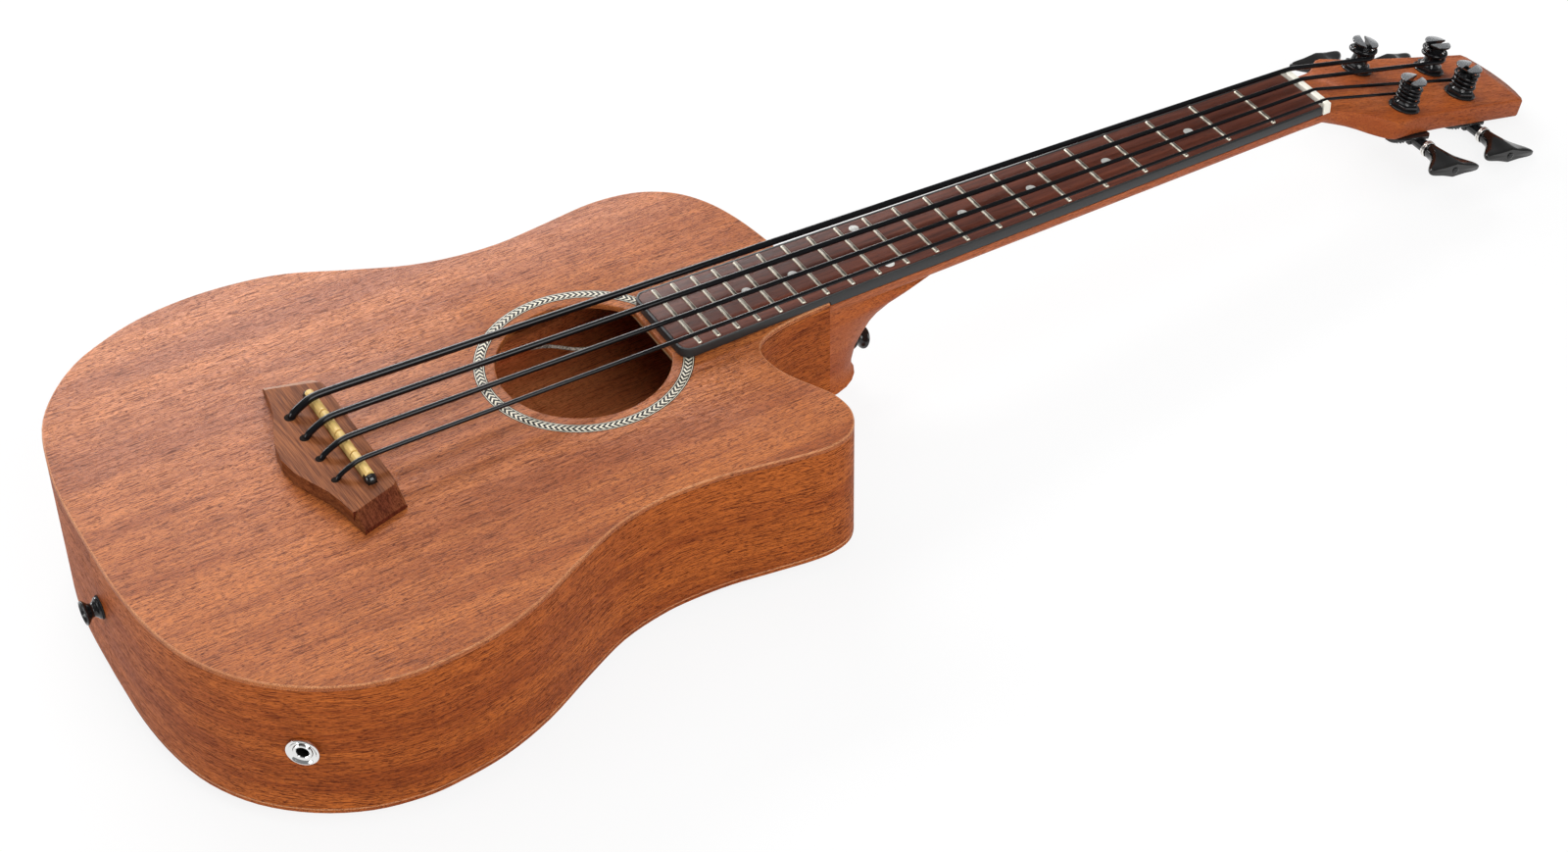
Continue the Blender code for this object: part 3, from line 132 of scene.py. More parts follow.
class Finish:
    """one material: its shader's plain values are set directly, and what varies comes from nodes"""

    def __init__(self, name, **plain):
        self.material = bpy.data.materials.new(name)
        self.material.use_nodes = True
        self.tree = self.material.node_tree
        self.shader = self.tree.nodes["Principled BSDF"]
        for socket, value in plain.items():
            self.set(socket, value)
        places = self.tree.nodes.new("ShaderNodeTexCoord")
        self.place = Value(self.tree, places.outputs["Object"])
        self.strip = Value(self.tree, places.outputs["UV"])

    def set(self, socket, value):
        target = self.shader.inputs[socket.replace("_", " ")]
        if isinstance(value, Value):
            self.tree.links.new(value.socket, target)
        else:
            target.default_value = (*value, 1) if isinstance(value, tuple) and len(value) == 3 else value

    def node(self, kind, settings=None, out=0, **inputs):
        """a node of the given type, with its settings made first, then its sockets"""
        made = self.tree.nodes.new("ShaderNode" + kind)
        for key, value in (settings or {}).items():
            setattr(made, key, value)
        for key, value in inputs.items():
            socket = made.inputs[int(key[1:])] if key[1:].isdigit() else made.inputs[key]
            if isinstance(value, Value):
                self.tree.links.new(value.socket, socket)
            else:
                socket.default_value = value
        return Value(self.tree, made.outputs[out])

    def mix(self, share, a, b):
        """one colour over another by a share"""
        a, b = [(*c, 1) if isinstance(c, tuple) else c for c in (a, b)]
        return self.node("Mix", {"data_type": "RGBA"}, 2, i0=share, i6=a, i7=b)

    def ramp(self, value, low, high, to_low=0.0, to_high=1.0):
        """a value stretched between two limits and held inside them"""
        return self.node("MapRange", {"clamp": True}, i0=value, i1=low, i2=high, i3=to_low, i4=to_high)

    def field(self, size, turn=(0, 0, 0), centre=(0, 0, 0), source=None):
        """coordinates counted in marks of the given size, from a centre"""
        return self.node("Mapping", {"vector_type": "TEXTURE"}, Vector=source or self.place, Location=centre,
                         Rotation=turn, Scale=size)

    def noise(self, vector, detail=3.0, rough=0.5):
        return self.node("TexNoise", Vector=vector, Scale=1.0, Detail=detail, Roughness=rough)

    def facing(self):
        """the three parts of the direction that the surface faces"""
        return self.node("NewGeometry", out="Normal").parts()

    def bump(self, height, strength, distance):
        self.set("Normal", self.node("Bump", Strength=strength, Distance=distance, Height=height))

    def on(self, *names):
        """gives the finish to CAD nodes"""
        for name in names:
            for place in nodes[name].material_slots:
                place.material = self.material


def timber(name, pale, deep, pore, rough=0.46, turn=(0, 0, 0), cut=1.0, source=None, gloss=0.25):
    """lacquered open-pored wood with its grain along the x of its coordinates"""
    wood = Finish(name, Specular_IOR_Level=gloss)
    base = source(wood) if source else wood.place

    def marks(long, across, detail, rough=0.5, centre=(0, 0, 0)):
        return wood.noise(wood.field((long, across, across), turn, centre, base), detail, rough)

    ribbon = marks(0.33, 0.021, 4)
    figure = marks(0.075, 0.0036, 5, 0.6)
    fibre = marks(0.030, 0.0006, 2)
    pores = marks(0.0026, 0.00026, 1, 0.4, (0.3, 0.2, 0.1))
    flecks = marks(0.0135, 0.00034, 1, 0.4, (0.7, 0.4, 0.2))
    tone = wood.ramp(ribbon * 0.5 + figure * 0.25 + fibre * 0.25, 0.43, 0.57)
    dark = wood.ramp((wood.ramp(pores, 0.55, 0.62) + wood.ramp(flecks, 0.57, 0.64)) * cut, 0.0, 1.0)
    wood.set("Base_Color", wood.mix(dark, wood.mix(tone, deep, pale), pore))
    wood.set("Roughness", wood.ramp(dark + fibre * 0.2, 0.0, 1.0, rough, rough + 0.22))
    wood.bump(dark * -1 + fibre * 0.25, 0.55, 0.00012)
    return wood


def back_z(x):
    """height of the outer face of the back, in the frame of the top"""
    return -TAIL_DEPTH + BACK_TAPER * (x - TAIL_X)


# The flat back lies on the ground, and the top slopes down to the neck.
wedge = atan(BACK_TAPER)
TOP = Matrix.Rotation(wedge, 4, "Y") @ Matrix.Translation((0, 0, -back_z(0)))
TO_TOP = TOP.inverted()


def smooth_line(points, per):
    """a smooth line through the points, with per steps between each two"""
    pts = [Vector(p) for p in points]
    line = []
    for i in range(len(pts) - 1):
        a = pts[i - 1] if i else pts[0] * 2 - pts[1]
        b, c = pts[i], pts[i + 1]
        d = pts[i + 2] if i + 2 < len(pts) else pts[-1] * 2 - pts[-2]
        for k in range(per):
            t = k / per
            p = b * 2 + (c - a) * t + (a * 2 - b * 5 + c * 4 - d) * t ** 2 + (b * 3 - a - c * 3 + d) * t ** 3
            line.append(p / 2)
    line.append(pts[-1])
    return line


def drawn_line(drawn, per):
    """half the outline, stretched from its drawing to the body's length and width"""
    long_share = BODY_LONG / (BASS_DRAWN[-1][0] - BASS_DRAWN[0][0])
    wide_share = BODY_WIDE / (max(y for x, y in BASS_DRAWN) - min(y for x, y in TREBLE_DRAWN))
    stretched = [(TAIL_X + (x - TAIL_X) * long_share, y * wide_share, 0) for x, y in drawn]
    return [(p[0], p[1]) for p in smooth_line(stretched, per)]


def run_along(line, x, y):
    """length along the line to the place nearest to a point"""
    best, found, run = 1.0, 0.0, 0.0
    for (x0, y0), (x1, y1) in zip(line, line[1:]):
        long = hypot(x1 - x0, y1 - y0)
        t = max(0.0, min(1.0, ((x - x0) * (x1 - x0) + (y - y0) * (y1 - y0)) / long ** 2))
        away = hypot(x0 + (x1 - x0) * t - x, y0 + (y1 - y0) * t - y)
        if away < best:
            best, found = away, run + long * t
        run += long
    return found


WELD = 2e-6


def merged(node):
    """a copy of a CAD node's shape with its faces joined where they lie flat"""
    shape = bmesh.new()
    shape.from_mesh(nodes[node].data)
    bmesh.ops.remove_doubles(shape, verts=shape.verts[:], dist=WELD)
    bmesh.ops.dissolve_limit(shape, angle_limit=radians(0.6), verts=shape.verts[:], edges=shape.edges[:])
    return shape


def placed(name, shape, finishes, stands_for=(), body="instrument", turn=32):
    """makes the piece of a shape, with its finishes, its body and the CAD nodes that it stands for"""
    data = bpy.data.meshes.new(name)
    shape.to_mesh(data)
    shape.free()
    for finish in finishes:
        data.materials.append(finish.material)
    data.shade_smooth()
    data.set_sharp_from_angle(angle=radians(turn))
    piece = bpy.data.objects.new(name, data)
    scene.collection.objects.link(piece)
    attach(piece, body)
    if stands_for:
        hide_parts(*stands_for)
    return piece


DARK_MAHOGANY = (0.47, 0.118, 0.019), (0.30, 0.062, 0.009), (0.110, 0.020, 0.004)
side_wood = timber("side_mahogany", *DARK_MAHOGANY, source=lambda wood: wood.strip, gloss=0.10)
for side, drawn, apart in (("bass", BASS_DRAWN, 0.5), ("treble", TREBLE_DRAWN, 0.0)):
    shape = merged("side_" + side)
    line = drawn_line(drawn, 2)
    lay = shape.loops.layers.uv.new("strip")
    for face in shape.faces:
        for corner in face.loops:
            at = TO_TOP @ corner.vert.co
            corner[lay].uv = (run_along(line, at.x, at.y), at.z + apart)
    placed("bent_side_" + side, shape, [side_wood], ["side_" + side])

# The back: a thin flat board of mahogany, glued onto the sides, with its rim scraped round.
# Inside run mahogany linings, spruce braces and the two end blocks, all raw wood.
PLATE_THICK = 0.003


def moved(shape, at):
    """the shape put in its frame"""
    bmesh.ops.transform(shape, matrix=at, verts=shape.verts[:])
    return shape


def round_over(shape, edges, width, segments=2):
    """rounds edges of a shape, and gives the new faces"""
    return bmesh.ops.bevel(shape, geom=edges, offset=width, offset_type="OFFSET", segments=segments, profile=0.5,
                           affect="EDGES", clamp_overlap=True, material=-1)["faces"]


def extruded(shape, faces):
    """extrudes faces of a shape, and gives the new corners"""
    made = bmesh.ops.extrude_face_region(shape, geom=faces)["geom"]
    return [v for v in made if isinstance(v, bmesh.types.BMVert)]


def board(rings, low, high, edge, both=False):
    """a flat board between two heights, cut to its rings, the first its rim and the others holes in it"""
    shape = bmesh.new()
    lines = []
    for ring in rings:
        row = [shape.verts.new((x, y, 0)) for x, y in ring]
        lines += [shape.edges.new(pair) for pair in zip(row, row[1:] + row[:1])]
    bmesh.ops.triangle_fill(shape, use_beauty=True, use_dissolve=True, edges=lines)
    raised = set(extruded(shape, shape.faces[:]))
    for v in shape.verts:
        v.co.z = high(v.co.x) if v in raised else low(v.co.x)
    bmesh.ops.recalc_face_normals(shape, faces=shape.faces[:])
    rim = [e for e in shape.edges if e.calc_face_angle(0) > 1 and all((v in raised) or both for v in e.verts)
           and abs(e.verts[0].co.z - e.verts[1].co.z) < 0.0005]
    for face in round_over(shape, rim, edge, 3):
        face.material_index = 1
    return shape


outline = drawn_line(BASS_DRAWN, 4) + drawn_line(TREBLE_DRAWN, 4)[:0:-1]
back_wood = timber("back_mahogany", *DARK_MAHOGANY, gloss=0.14)
# The raw mahogany of the back's inside and the linings is drawn paler than the blocks' raw mahogany: partly
# unlacquered wood, partly painted light for what falls in through the soundhole.
raw_wood_painted_brighter = timber("raw_mahogany_painted_brighter", (0.90, 0.31, 0.105), (0.78, 0.23, 0.072), (0.42, 0.09, 0.026), rough=0.6)
# The rounded rims of the back and the top take a paler finish: a painted highlight.
rim_painted_highlight = timber("rim_with_painted_highlight", (0.62, 0.270, 0.115), (0.52, 0.200, 0.078), (0.30, 0.100, 0.038), rough=0.34)
back = moved(board([outline], back_z, lambda x: back_z(x) + PLATE_THICK, 0.0006, both=True), TOP)
back.normal_update()
for face in back.faces:
    if face.normal.z > 0.7 and face.material_index == 0:
        face.material_index = 2
placed("back_board", back, [back_wood, rim_painted_highlight, raw_wood_painted_brighter], ["back_plate"])
cross_spruce = timber("raw_spruce_across", (0.72, 0.50, 0.29), (0.58, 0.37, 0.19), (0.40, 0.23, 0.11), rough=0.62,
                      turn=(0, 0, pi / 2), cut=0.4)
block_wood = timber("raw_block_mahogany", (0.50, 0.20, 0.10), (0.40, 0.14, 0.065), (0.20, 0.06, 0.03), rough=0.6)
raw_wood_painted_brighter.on("lining_top_bass", "lining_top_treble", "lining_back_bass", "lining_back_treble")
cross_spruce.on("brace_top_upper", "brace_top_lower", "brace_back_upper", "brace_back_lower", "bridge_plate")
block_wood.on("neck_block", "tail_block")

# The top: a thin mahogany board with a round soundhole that is cut straight under the fretboard.
# Its outer edge is rounded over, and drawn paler there: a painted highlight round it.
HOLE_X, HOLE_RADIUS, HOLE_CHORD = 0.1363, 0.0455, 0.1772
HOLE_STEPS = 96
chord_turn = acos((HOLE_CHORD - HOLE_X) / HOLE_RADIUS)
hole = []
for k in range(HOLE_STEPS + 1):
    a = chord_turn + (2 * pi - 2 * chord_turn) * k / HOLE_STEPS
    hole.append((HOLE_X + HOLE_RADIUS * cos(a), HOLE_RADIUS * sin(a)))
top_wood = timber("top_mahogany", (0.54, 0.164, 0.039), (0.345, 0.087, 0.019), (0.130, 0.027, 0.006), rough=0.40,
                  turn=(0, wedge, 0), gloss=0.27)
top = board([outline, hole], lambda x: -PLATE_THICK, lambda x: 0.0, 0.0008)
for face in top.faces:
    at = face.calc_center_median()
    if hypot(at.x - HOLE_X, at.y) < HOLE_RADIUS + 0.002:
        face.material_index = 0
placed("soundboard", moved(top, TOP), [top_wood, rim_painted_highlight], ["top_plate"])

# The rosette: a ring of pale and dark wood strips laid in herringbone between thin lines, let into the top.
# It stands a hair proud of the lacquer, and its strips lean both ways from the middle line.
ROSETTE_IN, ROSETTE_OUT, PAIRS = 0.0509, 0.0570, 112
LET_IN, PROUD = 0.0012, 0.00006


def spun(profile, at, steps=48, closed=False):
    """a shape turned about z from its (radius, height) line, then put in its frame"""
    shape = bmesh.new()
    row = [shape.verts.new((r, 0, z)) for r, z in profile]
    pairs = list(zip(row, row[1:])) + ([(row[-1], row[0])] if closed else [])
    lines = [shape.edges.new(pair) for pair in pairs]
    bmesh.ops.spin(shape, geom=row + lines, cent=(0, 0, 0), axis=(0, 0, 1), angle=2 * pi, steps=steps, use_merge=True)
    bmesh.ops.remove_doubles(shape, verts=shape.verts[:], dist=1e-7)
    bmesh.ops.recalc_face_normals(shape, faces=shape.faces[:])
    return moved(shape, at)


inlay = Finish("herringbone_inlay", Roughness=0.45, Specular_IOR_Level=0.2)
middle = TOP @ Vector((HOLE_X, 0, 0))
x, y, _ = inlay.field((1, 1, 1), (0, wedge, 0), tuple(middle)).parts()
ring = inlay.ramp((x * x + y * y).math("SQRT"), ROSETTE_IN, ROSETTE_OUT)
lean = (ring - 0.5).math("ABSOLUTE")
turns = y.math("ARCTAN2", x) * (PAIRS / (2 * pi)) - lean * 2.4
white = inlay.ramp((turns.math("FRACT") - 0.5).math("ABSOLUTE"), 0.26, 0.29)
middle_band = inlay.ramp(lean, 0.285, 0.305, 1, 0)
white_line = inlay.ramp((lean - 0.395).math("ABSOLUTE"), 0.022, 0.034, 1, 0)
grain = inlay.noise(inlay.field((0.004, 0.0006, 0.0006)))
pale_strip = inlay.mix(grain, (0.80, 0.75, 0.62), (0.64, 0.58, 0.45))
inlay.set("Base_Color", inlay.mix(white * middle_band + white_line, (0.010, 0.008, 0.007), pale_strip))
rosette = spun([(ROSETTE_IN, -LET_IN), (ROSETTE_IN, 0.00002), (ROSETTE_IN + 0.00015, PROUD),
                (ROSETTE_OUT - 0.00015, PROUD), (ROSETTE_OUT, 0.00002), (ROSETTE_OUT, -LET_IN)],
               TOP @ Matrix.Translation((HOLE_X, 0, 0)), 128, True)
placed("herringbone_rosette", rosette, [inlay], ["rosette"])

# The neck: one piece of mahogany with its heel, glued to the body, and a scarfed head tilted back from the nut.
# Only the rim of the head's face is worn round. A steel truss rod lies in its channel under the fretboard.
NUT_X, NUT_THICK, GAP = 0.600, 0.0052, 0.0003
HEAD_TILT, HEAD_Z = radians(15.2), -0.00695
HEAD = TOP @ Matrix.Translation((NUT_X + NUT_THICK + 2 * GAP, 0, HEAD_Z)) @ Matrix.Rotation(HEAD_TILT, 4, "Y")
TO_HEAD = HEAD.inverted()
POSTS = {"E": (0.0565, 0.0226), "A": (0.1080, 0.0144), "D": (0.1075, -0.0146), "G": (0.0555, -0.0224)}


def bent_grain(wood):
    """coordinates that turn with the head at the nut"""
    bend = HEAD.translation
    flat = wood.field((1, 1, 1), (0, wedge, 0))
    tilted = wood.field((1, 1, 1), (0, wedge + HEAD_TILT, 0), tuple(bend))
    on_head = wood.ramp(wood.place.parts()[0], bend.x - 0.001, bend.x + 0.001)
    return wood.node("Mix", {"data_type": "VECTOR"}, 1, i0=on_head, i4=flat, i5=tilted)


def sharp_edges(shape, angle):
    """the edges at which the surface turns by more than an angle in degrees"""
    return [e for e in shape.edges if e.is_manifold and e.calc_face_angle(0) > radians(angle)]


def on_face_rim(at):
    """whether a point lies on the head's face, away from the nut and from the holes of the tuners"""
    p = TO_HEAD @ at
    return p.x > 0.012 and abs(p.z) < 0.0012 and all(hypot(p.x - u, p.y - v) > 0.012 for u, v in POSTS.values())


def mottled(name, marks, rough, colours=None, detail=4, **plain):
    """a plain finish whose polish, and colour where two are given, drift over marks of the given size"""
    made = Finish(name, **plain)
    drift = made.noise(made.field(marks), detail)
    if colours:
        made.set("Base_Color", made.mix(drift, *colours))
    made.set("Roughness", made.ramp(drift, 0.3, 0.7, *rough))
    return made


neck_wood = timber("neck_mahogany", (0.46, 0.112, 0.019), (0.33, 0.066, 0.010), (0.14, 0.025, 0.005),
                   cut=0.7, source=bent_grain, gloss=0.24)
carved = merged("neck")
crisp = [e for e in sharp_edges(carved, 50) if all(on_face_rim(v.co) for v in e.verts)]
round_over(carved, crisp, 0.0016, 3)
placed("carved_neck", carved, [neck_wood], ["neck"], turn=38)
rod_steel = mottled("rod_steel", (0.02, 0.001, 0.001), (0.25, 0.45), detail=3, Base_Color=(0.42, 0.42, 0.43),
                    Metallic=1.0)
rod_steel.on("truss_rod")

# The fretboard: dark rosewood with fine pits, planed thinner towards the nut and glued to the neck.
# It is let in between a black binding that goes round its tail end.
BOARD_END, BINDING, BOARD_FALL = 0.1795, 0.0017, 0.0170
BOARD_TALL, THICK_AT_BODY, THICK_AT_NUT = 0.0056, 0.0062, 0.0052
HALF_AT_NUT, WIDENING, CORNER = 0.0200, 0.0081, 0.007
STEP_X, STEP_LONG = BODY_END + 0.0002, 0.0005


def board_top(x):
    """height of the playing face, which falls towards the nut"""
    return BOARD_TALL - BOARD_FALL * (x - BOARD_END)


def board_half(x):
    """half the width, which grows from the nut to the tail end"""
    return HALF_AT_NUT + WIDENING * (NUT_X - x) / (NUT_X - BOARD_END)


def board_under(x):
    """height of the underside: just over the body's top, then down a step and along the neck"""
    if x < STEP_X + STEP_LONG / 2:
        return GAP
    at_body, at_nut = board_top(BODY_END) - THICK_AT_BODY, board_top(NUT_X) - THICK_AT_NUT
    return at_body + (at_nut - at_body) * (x - BODY_END) / (NUT_X - BODY_END)


def board_rim(inset):
    """half the board's plan, from the middle of its tail end to the nut"""
    corner = CORNER - inset
    x0, edge = BOARD_END + inset + corner, board_half(BOARD_END) - inset - corner
    turns = [pi / 2 * k / 8 for k in range(9)]
    line = [(x0 - corner * cos(a), edge + corner * sin(a)) for a in turns]
    return line + [(x, board_half(x) - inset) for x in (STEP_X, STEP_X + STEP_LONG, NUT_X - GAP)]


rosewood = Finish("rosewood", Specular_IOR_Level=0.2)
with_top = (0, wedge, 0)
band = rosewood.noise(rosewood.field((0.11, 0.0045, 0.0045), with_top), 5, 0.62)
fine = rosewood.noise(rosewood.field((0.012, 0.00042, 0.00042), with_top), 2)
pits = rosewood.noise(rosewood.field((0.0036, 0.00035, 0.00035), with_top, (0.2, 0.1, 0)), 1)
pits = rosewood.ramp(pits, 0.6, 0.72)
tone = rosewood.ramp(band * 0.7 + fine * 0.3, 0.38, 0.62)
heart = rosewood.mix(tone, (0.050, 0.012, 0.007), (0.155, 0.042, 0.023))
rosewood.set("Base_Color", rosewood.mix(pits * 0.7, heart, (0.028, 0.008, 0.006)))
rosewood.set("Roughness", rosewood.ramp(fine, 0.3, 0.7, 0.40, 0.55))
rosewood.bump(pits * -1 + fine * 0.3, 0.5, 0.0001)
half_rim = board_rim(BINDING)
slab = board([half_rim + [(x, -y) for x, y in half_rim[::-1]]], board_under, board_top, 0.00012)
placed("rosewood_board", moved(slab, TOP), [rosewood, rosewood], ["fretboard"])

# The position dots: discs of cloudy pearl, let into the board and sanded flush with it.
# They mark the third to the seventeenth frets, with a pair at the twelfth.
SCALE, PAIR_APART = 0.597, 0.0180
DOT_RADIUS, DOT_THICK, DOT_SUNK = 0.0028, 0.00045, 0.0004


def fret_x(n):
    return NUT_X - SCALE * (1 - 2 ** (-n / 12))


pearl = Finish("pearl_dot", Roughness=0.25)
cloud = pearl.noise(pearl.field((0.0016, 0.0010, 0.0016)), 4, 0.7)
pearl.set("Base_Color", pearl.mix(pearl.ramp(cloud, 0.35, 0.65), (0.50, 0.50, 0.47), (0.80, 0.79, 0.75)))
dots = bmesh.new()
for n, across in ((3, 0), (5, 0), (7, 0), (9, 0), (12, -PAIR_APART), (12, PAIR_APART), (15, 0), (17, 0)):
    x = (fret_x(n) + fret_x(n - 1)) / 2
    fall = Matrix.Translation((x, across, board_top(x))) @ Matrix.Rotation(atan(BOARD_FALL), 4, "Y")
    disc = bmesh.ops.create_circle(dots, cap_ends=True, segments=32, radius=DOT_RADIUS)["verts"]
    upper = extruded(dots, disc[0].link_faces[:])
    bmesh.ops.translate(dots, verts=upper, vec=(0, 0, DOT_THICK))
    bmesh.ops.transform(dots, matrix=fall @ Matrix.Translation((0, 0, -DOT_SUNK)), verts=disc + upper)
bmesh.ops.recalc_face_normals(dots, faces=dots.faces[:])
placed("pearl_dots", moved(dots, TOP), [pearl])

# The frets: twenty nickel-silver wires pressed into slots across the board, crowned, with their ends rounded.
# They stop short of the binding.
FRET_HALF, FRET_TALL, FRET_SUNK, FRET_SHORT = 0.0012, 0.00088, 0.0004, 0.0007
nickel = Finish("nickel_silver", Metallic=0.55)
worn = nickel.noise(nickel.field((0.004, 0.012, 0.004)))
# The top of each crown is drawn dark, a painted reflection, and its flanks pale; the wear noise weakens the dark a
# little.
painted_crown_reflection = nickel.ramp(nickel.facing()[2], 0.87, 0.92) * nickel.ramp(worn, 0.3, 0.7, 1.0, 0.85)
nickel.set("Base_Color", nickel.mix(painted_crown_reflection, (0.88, 0.83, 0.68), (0.10, 0.085, 0.07)))
nickel.set("Roughness", nickel.ramp(worn, 0.3, 0.7, 0.38, 0.48))


def lofted(rings):
    """a closed shape over rings of as many points each, bridged one to the next"""
    shape = bmesh.new()
    before = None
    for ring in rings:
        row = [shape.verts.new(p) for p in ring]
        loop = [shape.edges.new(pair) for pair in zip(row, row[1:] + row[:1])]
        if before:
            bmesh.ops.bridge_loops(shape, edges=before + loop)
        else:
            shape.faces.new(row)
        before = loop
    shape.faces.new(row)
    bmesh.ops.recalc_face_normals(shape, faces=shape.faces[:])
    return shape


def joined(shape, other):
    """one shape with another added to it"""
    held = bpy.data.meshes.new("held")
    other.to_mesh(held)
    other.free()
    shape.from_mesh(held)
    bpy.data.meshes.remove(held)
    return shape


wires = bmesh.new()
for n in range(1, 21):
    x = fret_x(n)
    reach, z = board_half(x) - BINDING - FRET_SHORT, board_top(x)
    end = [(-reach, 0.35), (-reach + 0.0002, 0.72), (-reach + 0.0006, 0.95), (-reach + 0.0012, 1.0)]
    rings = []
    for y, tall in end + [(-y, tall) for y, tall in end[::-1]]:
        broad = FRET_HALF * (0.55 + 0.45 * tall)
        arch = [(x + broad, y, z - FRET_SUNK)]
        for k in range(13):
            a = pi * k / 12
            arch.append((x + broad * cos(a), y, z + 0.00012 + FRET_TALL * tall * sin(a)))
        rings.append(arch + [(x - broad, y, z - FRET_SUNK)])
    joined(wires, lofted(rings))
placed("fret_wires", moved(wires, TOP), [nickel])


# The binding: a black plastic strip bent round the tail end of the board and glued to both its edges.
# It is scraped flush and left satin.
def eased(node, width):
    """a copy of a CAD node's shape with its sharp edges rounded"""
    shape = merged(node)
    round_over(shape, sharp_edges(shape, 40), width)
    return shape


binding_black = mottled("satin_black_binding", (0.03, 0.004, 0.002), (0.40, 0.52),
                        ((0.022, 0.022, 0.022), (0.036, 0.036, 0.036)), Specular_IOR_Level=0.3)
placed("board_binding", eased("fretboard_binding", 0.0004), [binding_black], ["fretboard_binding"])

# The nut: a block of polished bone glued across the end of the board, with a slot filed for each string.
# Its colour runs in faint streaks.
bone = mottled("polished_bone", (0.0008, 0.006, 0.0008), (0.24, 0.36), ((0.88, 0.86, 0.78), (0.74, 0.70, 0.58)))
placed("bone_nut", eased("nut", 0.00035), [bone], ["nut"])

# The bridge: a block of brown hardwood with its grain across the strings, bevelled at both ends and glued on.
# Its end grain is darker at the treble end, partly from the wood and partly painted shade, and the bass end is
# drawn paler, a painted highlight. A hole for each string is drilled through it.
BRIDGE_TALL, HOLE_ROW = 0.0088, -0.0147
bridge_wood = Finish("bridge_wood", Specular_IOR_Level=0.06)
lines = bridge_wood.noise(bridge_wood.field((0.0014, 0.045, 0.0030), (0.02, 0.05, 0.10)), 5, 0.62)
hair = bridge_wood.noise(bridge_wood.field((0.00042, 0.014, 0.0006)), 2)
vein = bridge_wood.noise(bridge_wood.field((0.0075, 0.16, 0.012), (0.03, 0.04, 0.14)), 3)
tone = bridge_wood.ramp(lines * 0.55 + hair * 0.45, 0.42, 0.58)
dark_vein = bridge_wood.ramp(vein, 0.55, 0.66)
to_bass = bridge_wood.facing()[1]
# The end facing the treble side is darkened, partly end grain and partly painted shade; the end facing the bass side
# is paled, a painted highlight.
end_grain_and_painted_shade, painted_highlight_end = bridge_wood.ramp(to_bass, -0.6, -0.3, 1, 0), bridge_wood.ramp(to_bass, 0.3, 0.6)
brown = bridge_wood.mix(tone, (0.120, 0.033, 0.011), (0.290, 0.098, 0.035))
brown = bridge_wood.mix(dark_vein * 0.5, brown, (0.055, 0.015, 0.008))
brown = bridge_wood.mix(painted_highlight_end, brown, bridge_wood.mix(tone, (0.30, 0.165, 0.110), (0.50, 0.33, 0.25)))
brown = bridge_wood.mix(end_grain_and_painted_shade, brown, bridge_wood.mix(tone, (0.055, 0.010, 0.004), (0.140, 0.030, 0.014)))
bridge_wood.set("Base_Color", brown)
bridge_wood.set("Roughness", bridge_wood.ramp(hair, 0.3, 0.7, 0.36, 0.52))
bridge_wood.bump(hair, 0.4, 0.00008)
block = merged("bridge")
corners = []
for edge in block.edges:
    low, high = [TO_TOP @ v.co for v in edge.verts]
    if all(p.x > 0.0100 and abs(p.y) > 0.040 for p in (low, high)) and abs(low.z - high.z) > 0.005:
        corners.append(edge)
round_over(block, corners, 0.0035, 5)
round_over(block, sharp_edges(block, 26), 0.0004)
placed("bridge_block", block, [bridge_wood], ["bridge"], turn=12)
# Over the mouth of each hole lies a thin dark disc, mottled a little: painted shade of the hole.
hole_shade = Finish("painted_hole_shade", Roughness=0.9, Specular_IOR_Level=0.1)
shade_mottle = hole_shade.noise(hole_shade.field((0.002, 0.002, 0.002)))
hole_shade.set("Base_Color", hole_shade.mix(shade_mottle, (0.006, 0.004, 0.003), (0.014, 0.008, 0.006)))
for name, across, wide in (("E", 0.0272, 0.0030), ("A", 0.0091, 0.0027), ("D", -0.0091, 0.0024),
                           ("G", -0.0272, 0.0021)):
    rim = spun([(0, 0.0), (wide, 0.0), (wide, 0.00006), (wide - 0.0001, 0.0001), (0, 0.0001)],
               TOP @ Matrix.Translation((HOLE_ROW, across, BRIDGE_TALL)), 32)
    placed("painted_hole_shade_" + name, rim, [hole_shade])

# The saddle: a bar of cream plastic, slit between the strings, which stands in the bridge's slot.
# A black piezo strip lies under it and curls up past its ends in two rounded caps.
CAP_LOW = 0.0084
cream = mottled("cream_saddle_plastic", (0.004, 0.012, 0.004), (0.26, 0.38),
                ((0.80, 0.56, 0.20), (0.72, 0.48, 0.15)), detail=3)
placed("cream_saddle", eased("saddle", 0.00025), [cream], ["saddle"], turn=12)
gloss_black = mottled("gloss_black_plastic", (0.006, 0.006, 0.006), (0.10, 0.20),
                      ((0.006, 0.0055, 0.0055), (0.011, 0.010, 0.009)))
placed("piezo_strip", eased("pickup_strip", 0.0004), [gloss_black], ["pickup_strip"])
for end, side in (("treble", -1), ("bass", 1)):
    rings = []
    for along, half, tall in ((0.0335, 0.0027, 0.0126), (0.0338, 0.0029, 0.0130), (0.0360, 0.0031, 0.0131),
                              (0.0376, 0.0030, 0.0127), (0.0387, 0.0026, 0.0119), (0.0394, 0.0020, 0.0110),
                              (0.0398, 0.0010, 0.0098)):
        ring = []
        for k in range(32):
            c, s = cos(2 * pi * k / 32), sin(2 * pi * k / 32)
            ring.append((half * (1 if c > 0 else -1) * abs(c) ** 0.75, side * along,
                         CAP_LOW + (tall - CAP_LOW) * max(0.0, s) ** 0.7))
        rings.append(ring)
    cap = lofted(rings)
    bmesh.ops.remove_doubles(cap, verts=cap.verts[:], dist=1e-6)
    bmesh.ops.recalc_face_normals(cap, faces=cap.faces[:])
    placed("piezo_end_" + end, moved(cap, TOP), [gloss_black])

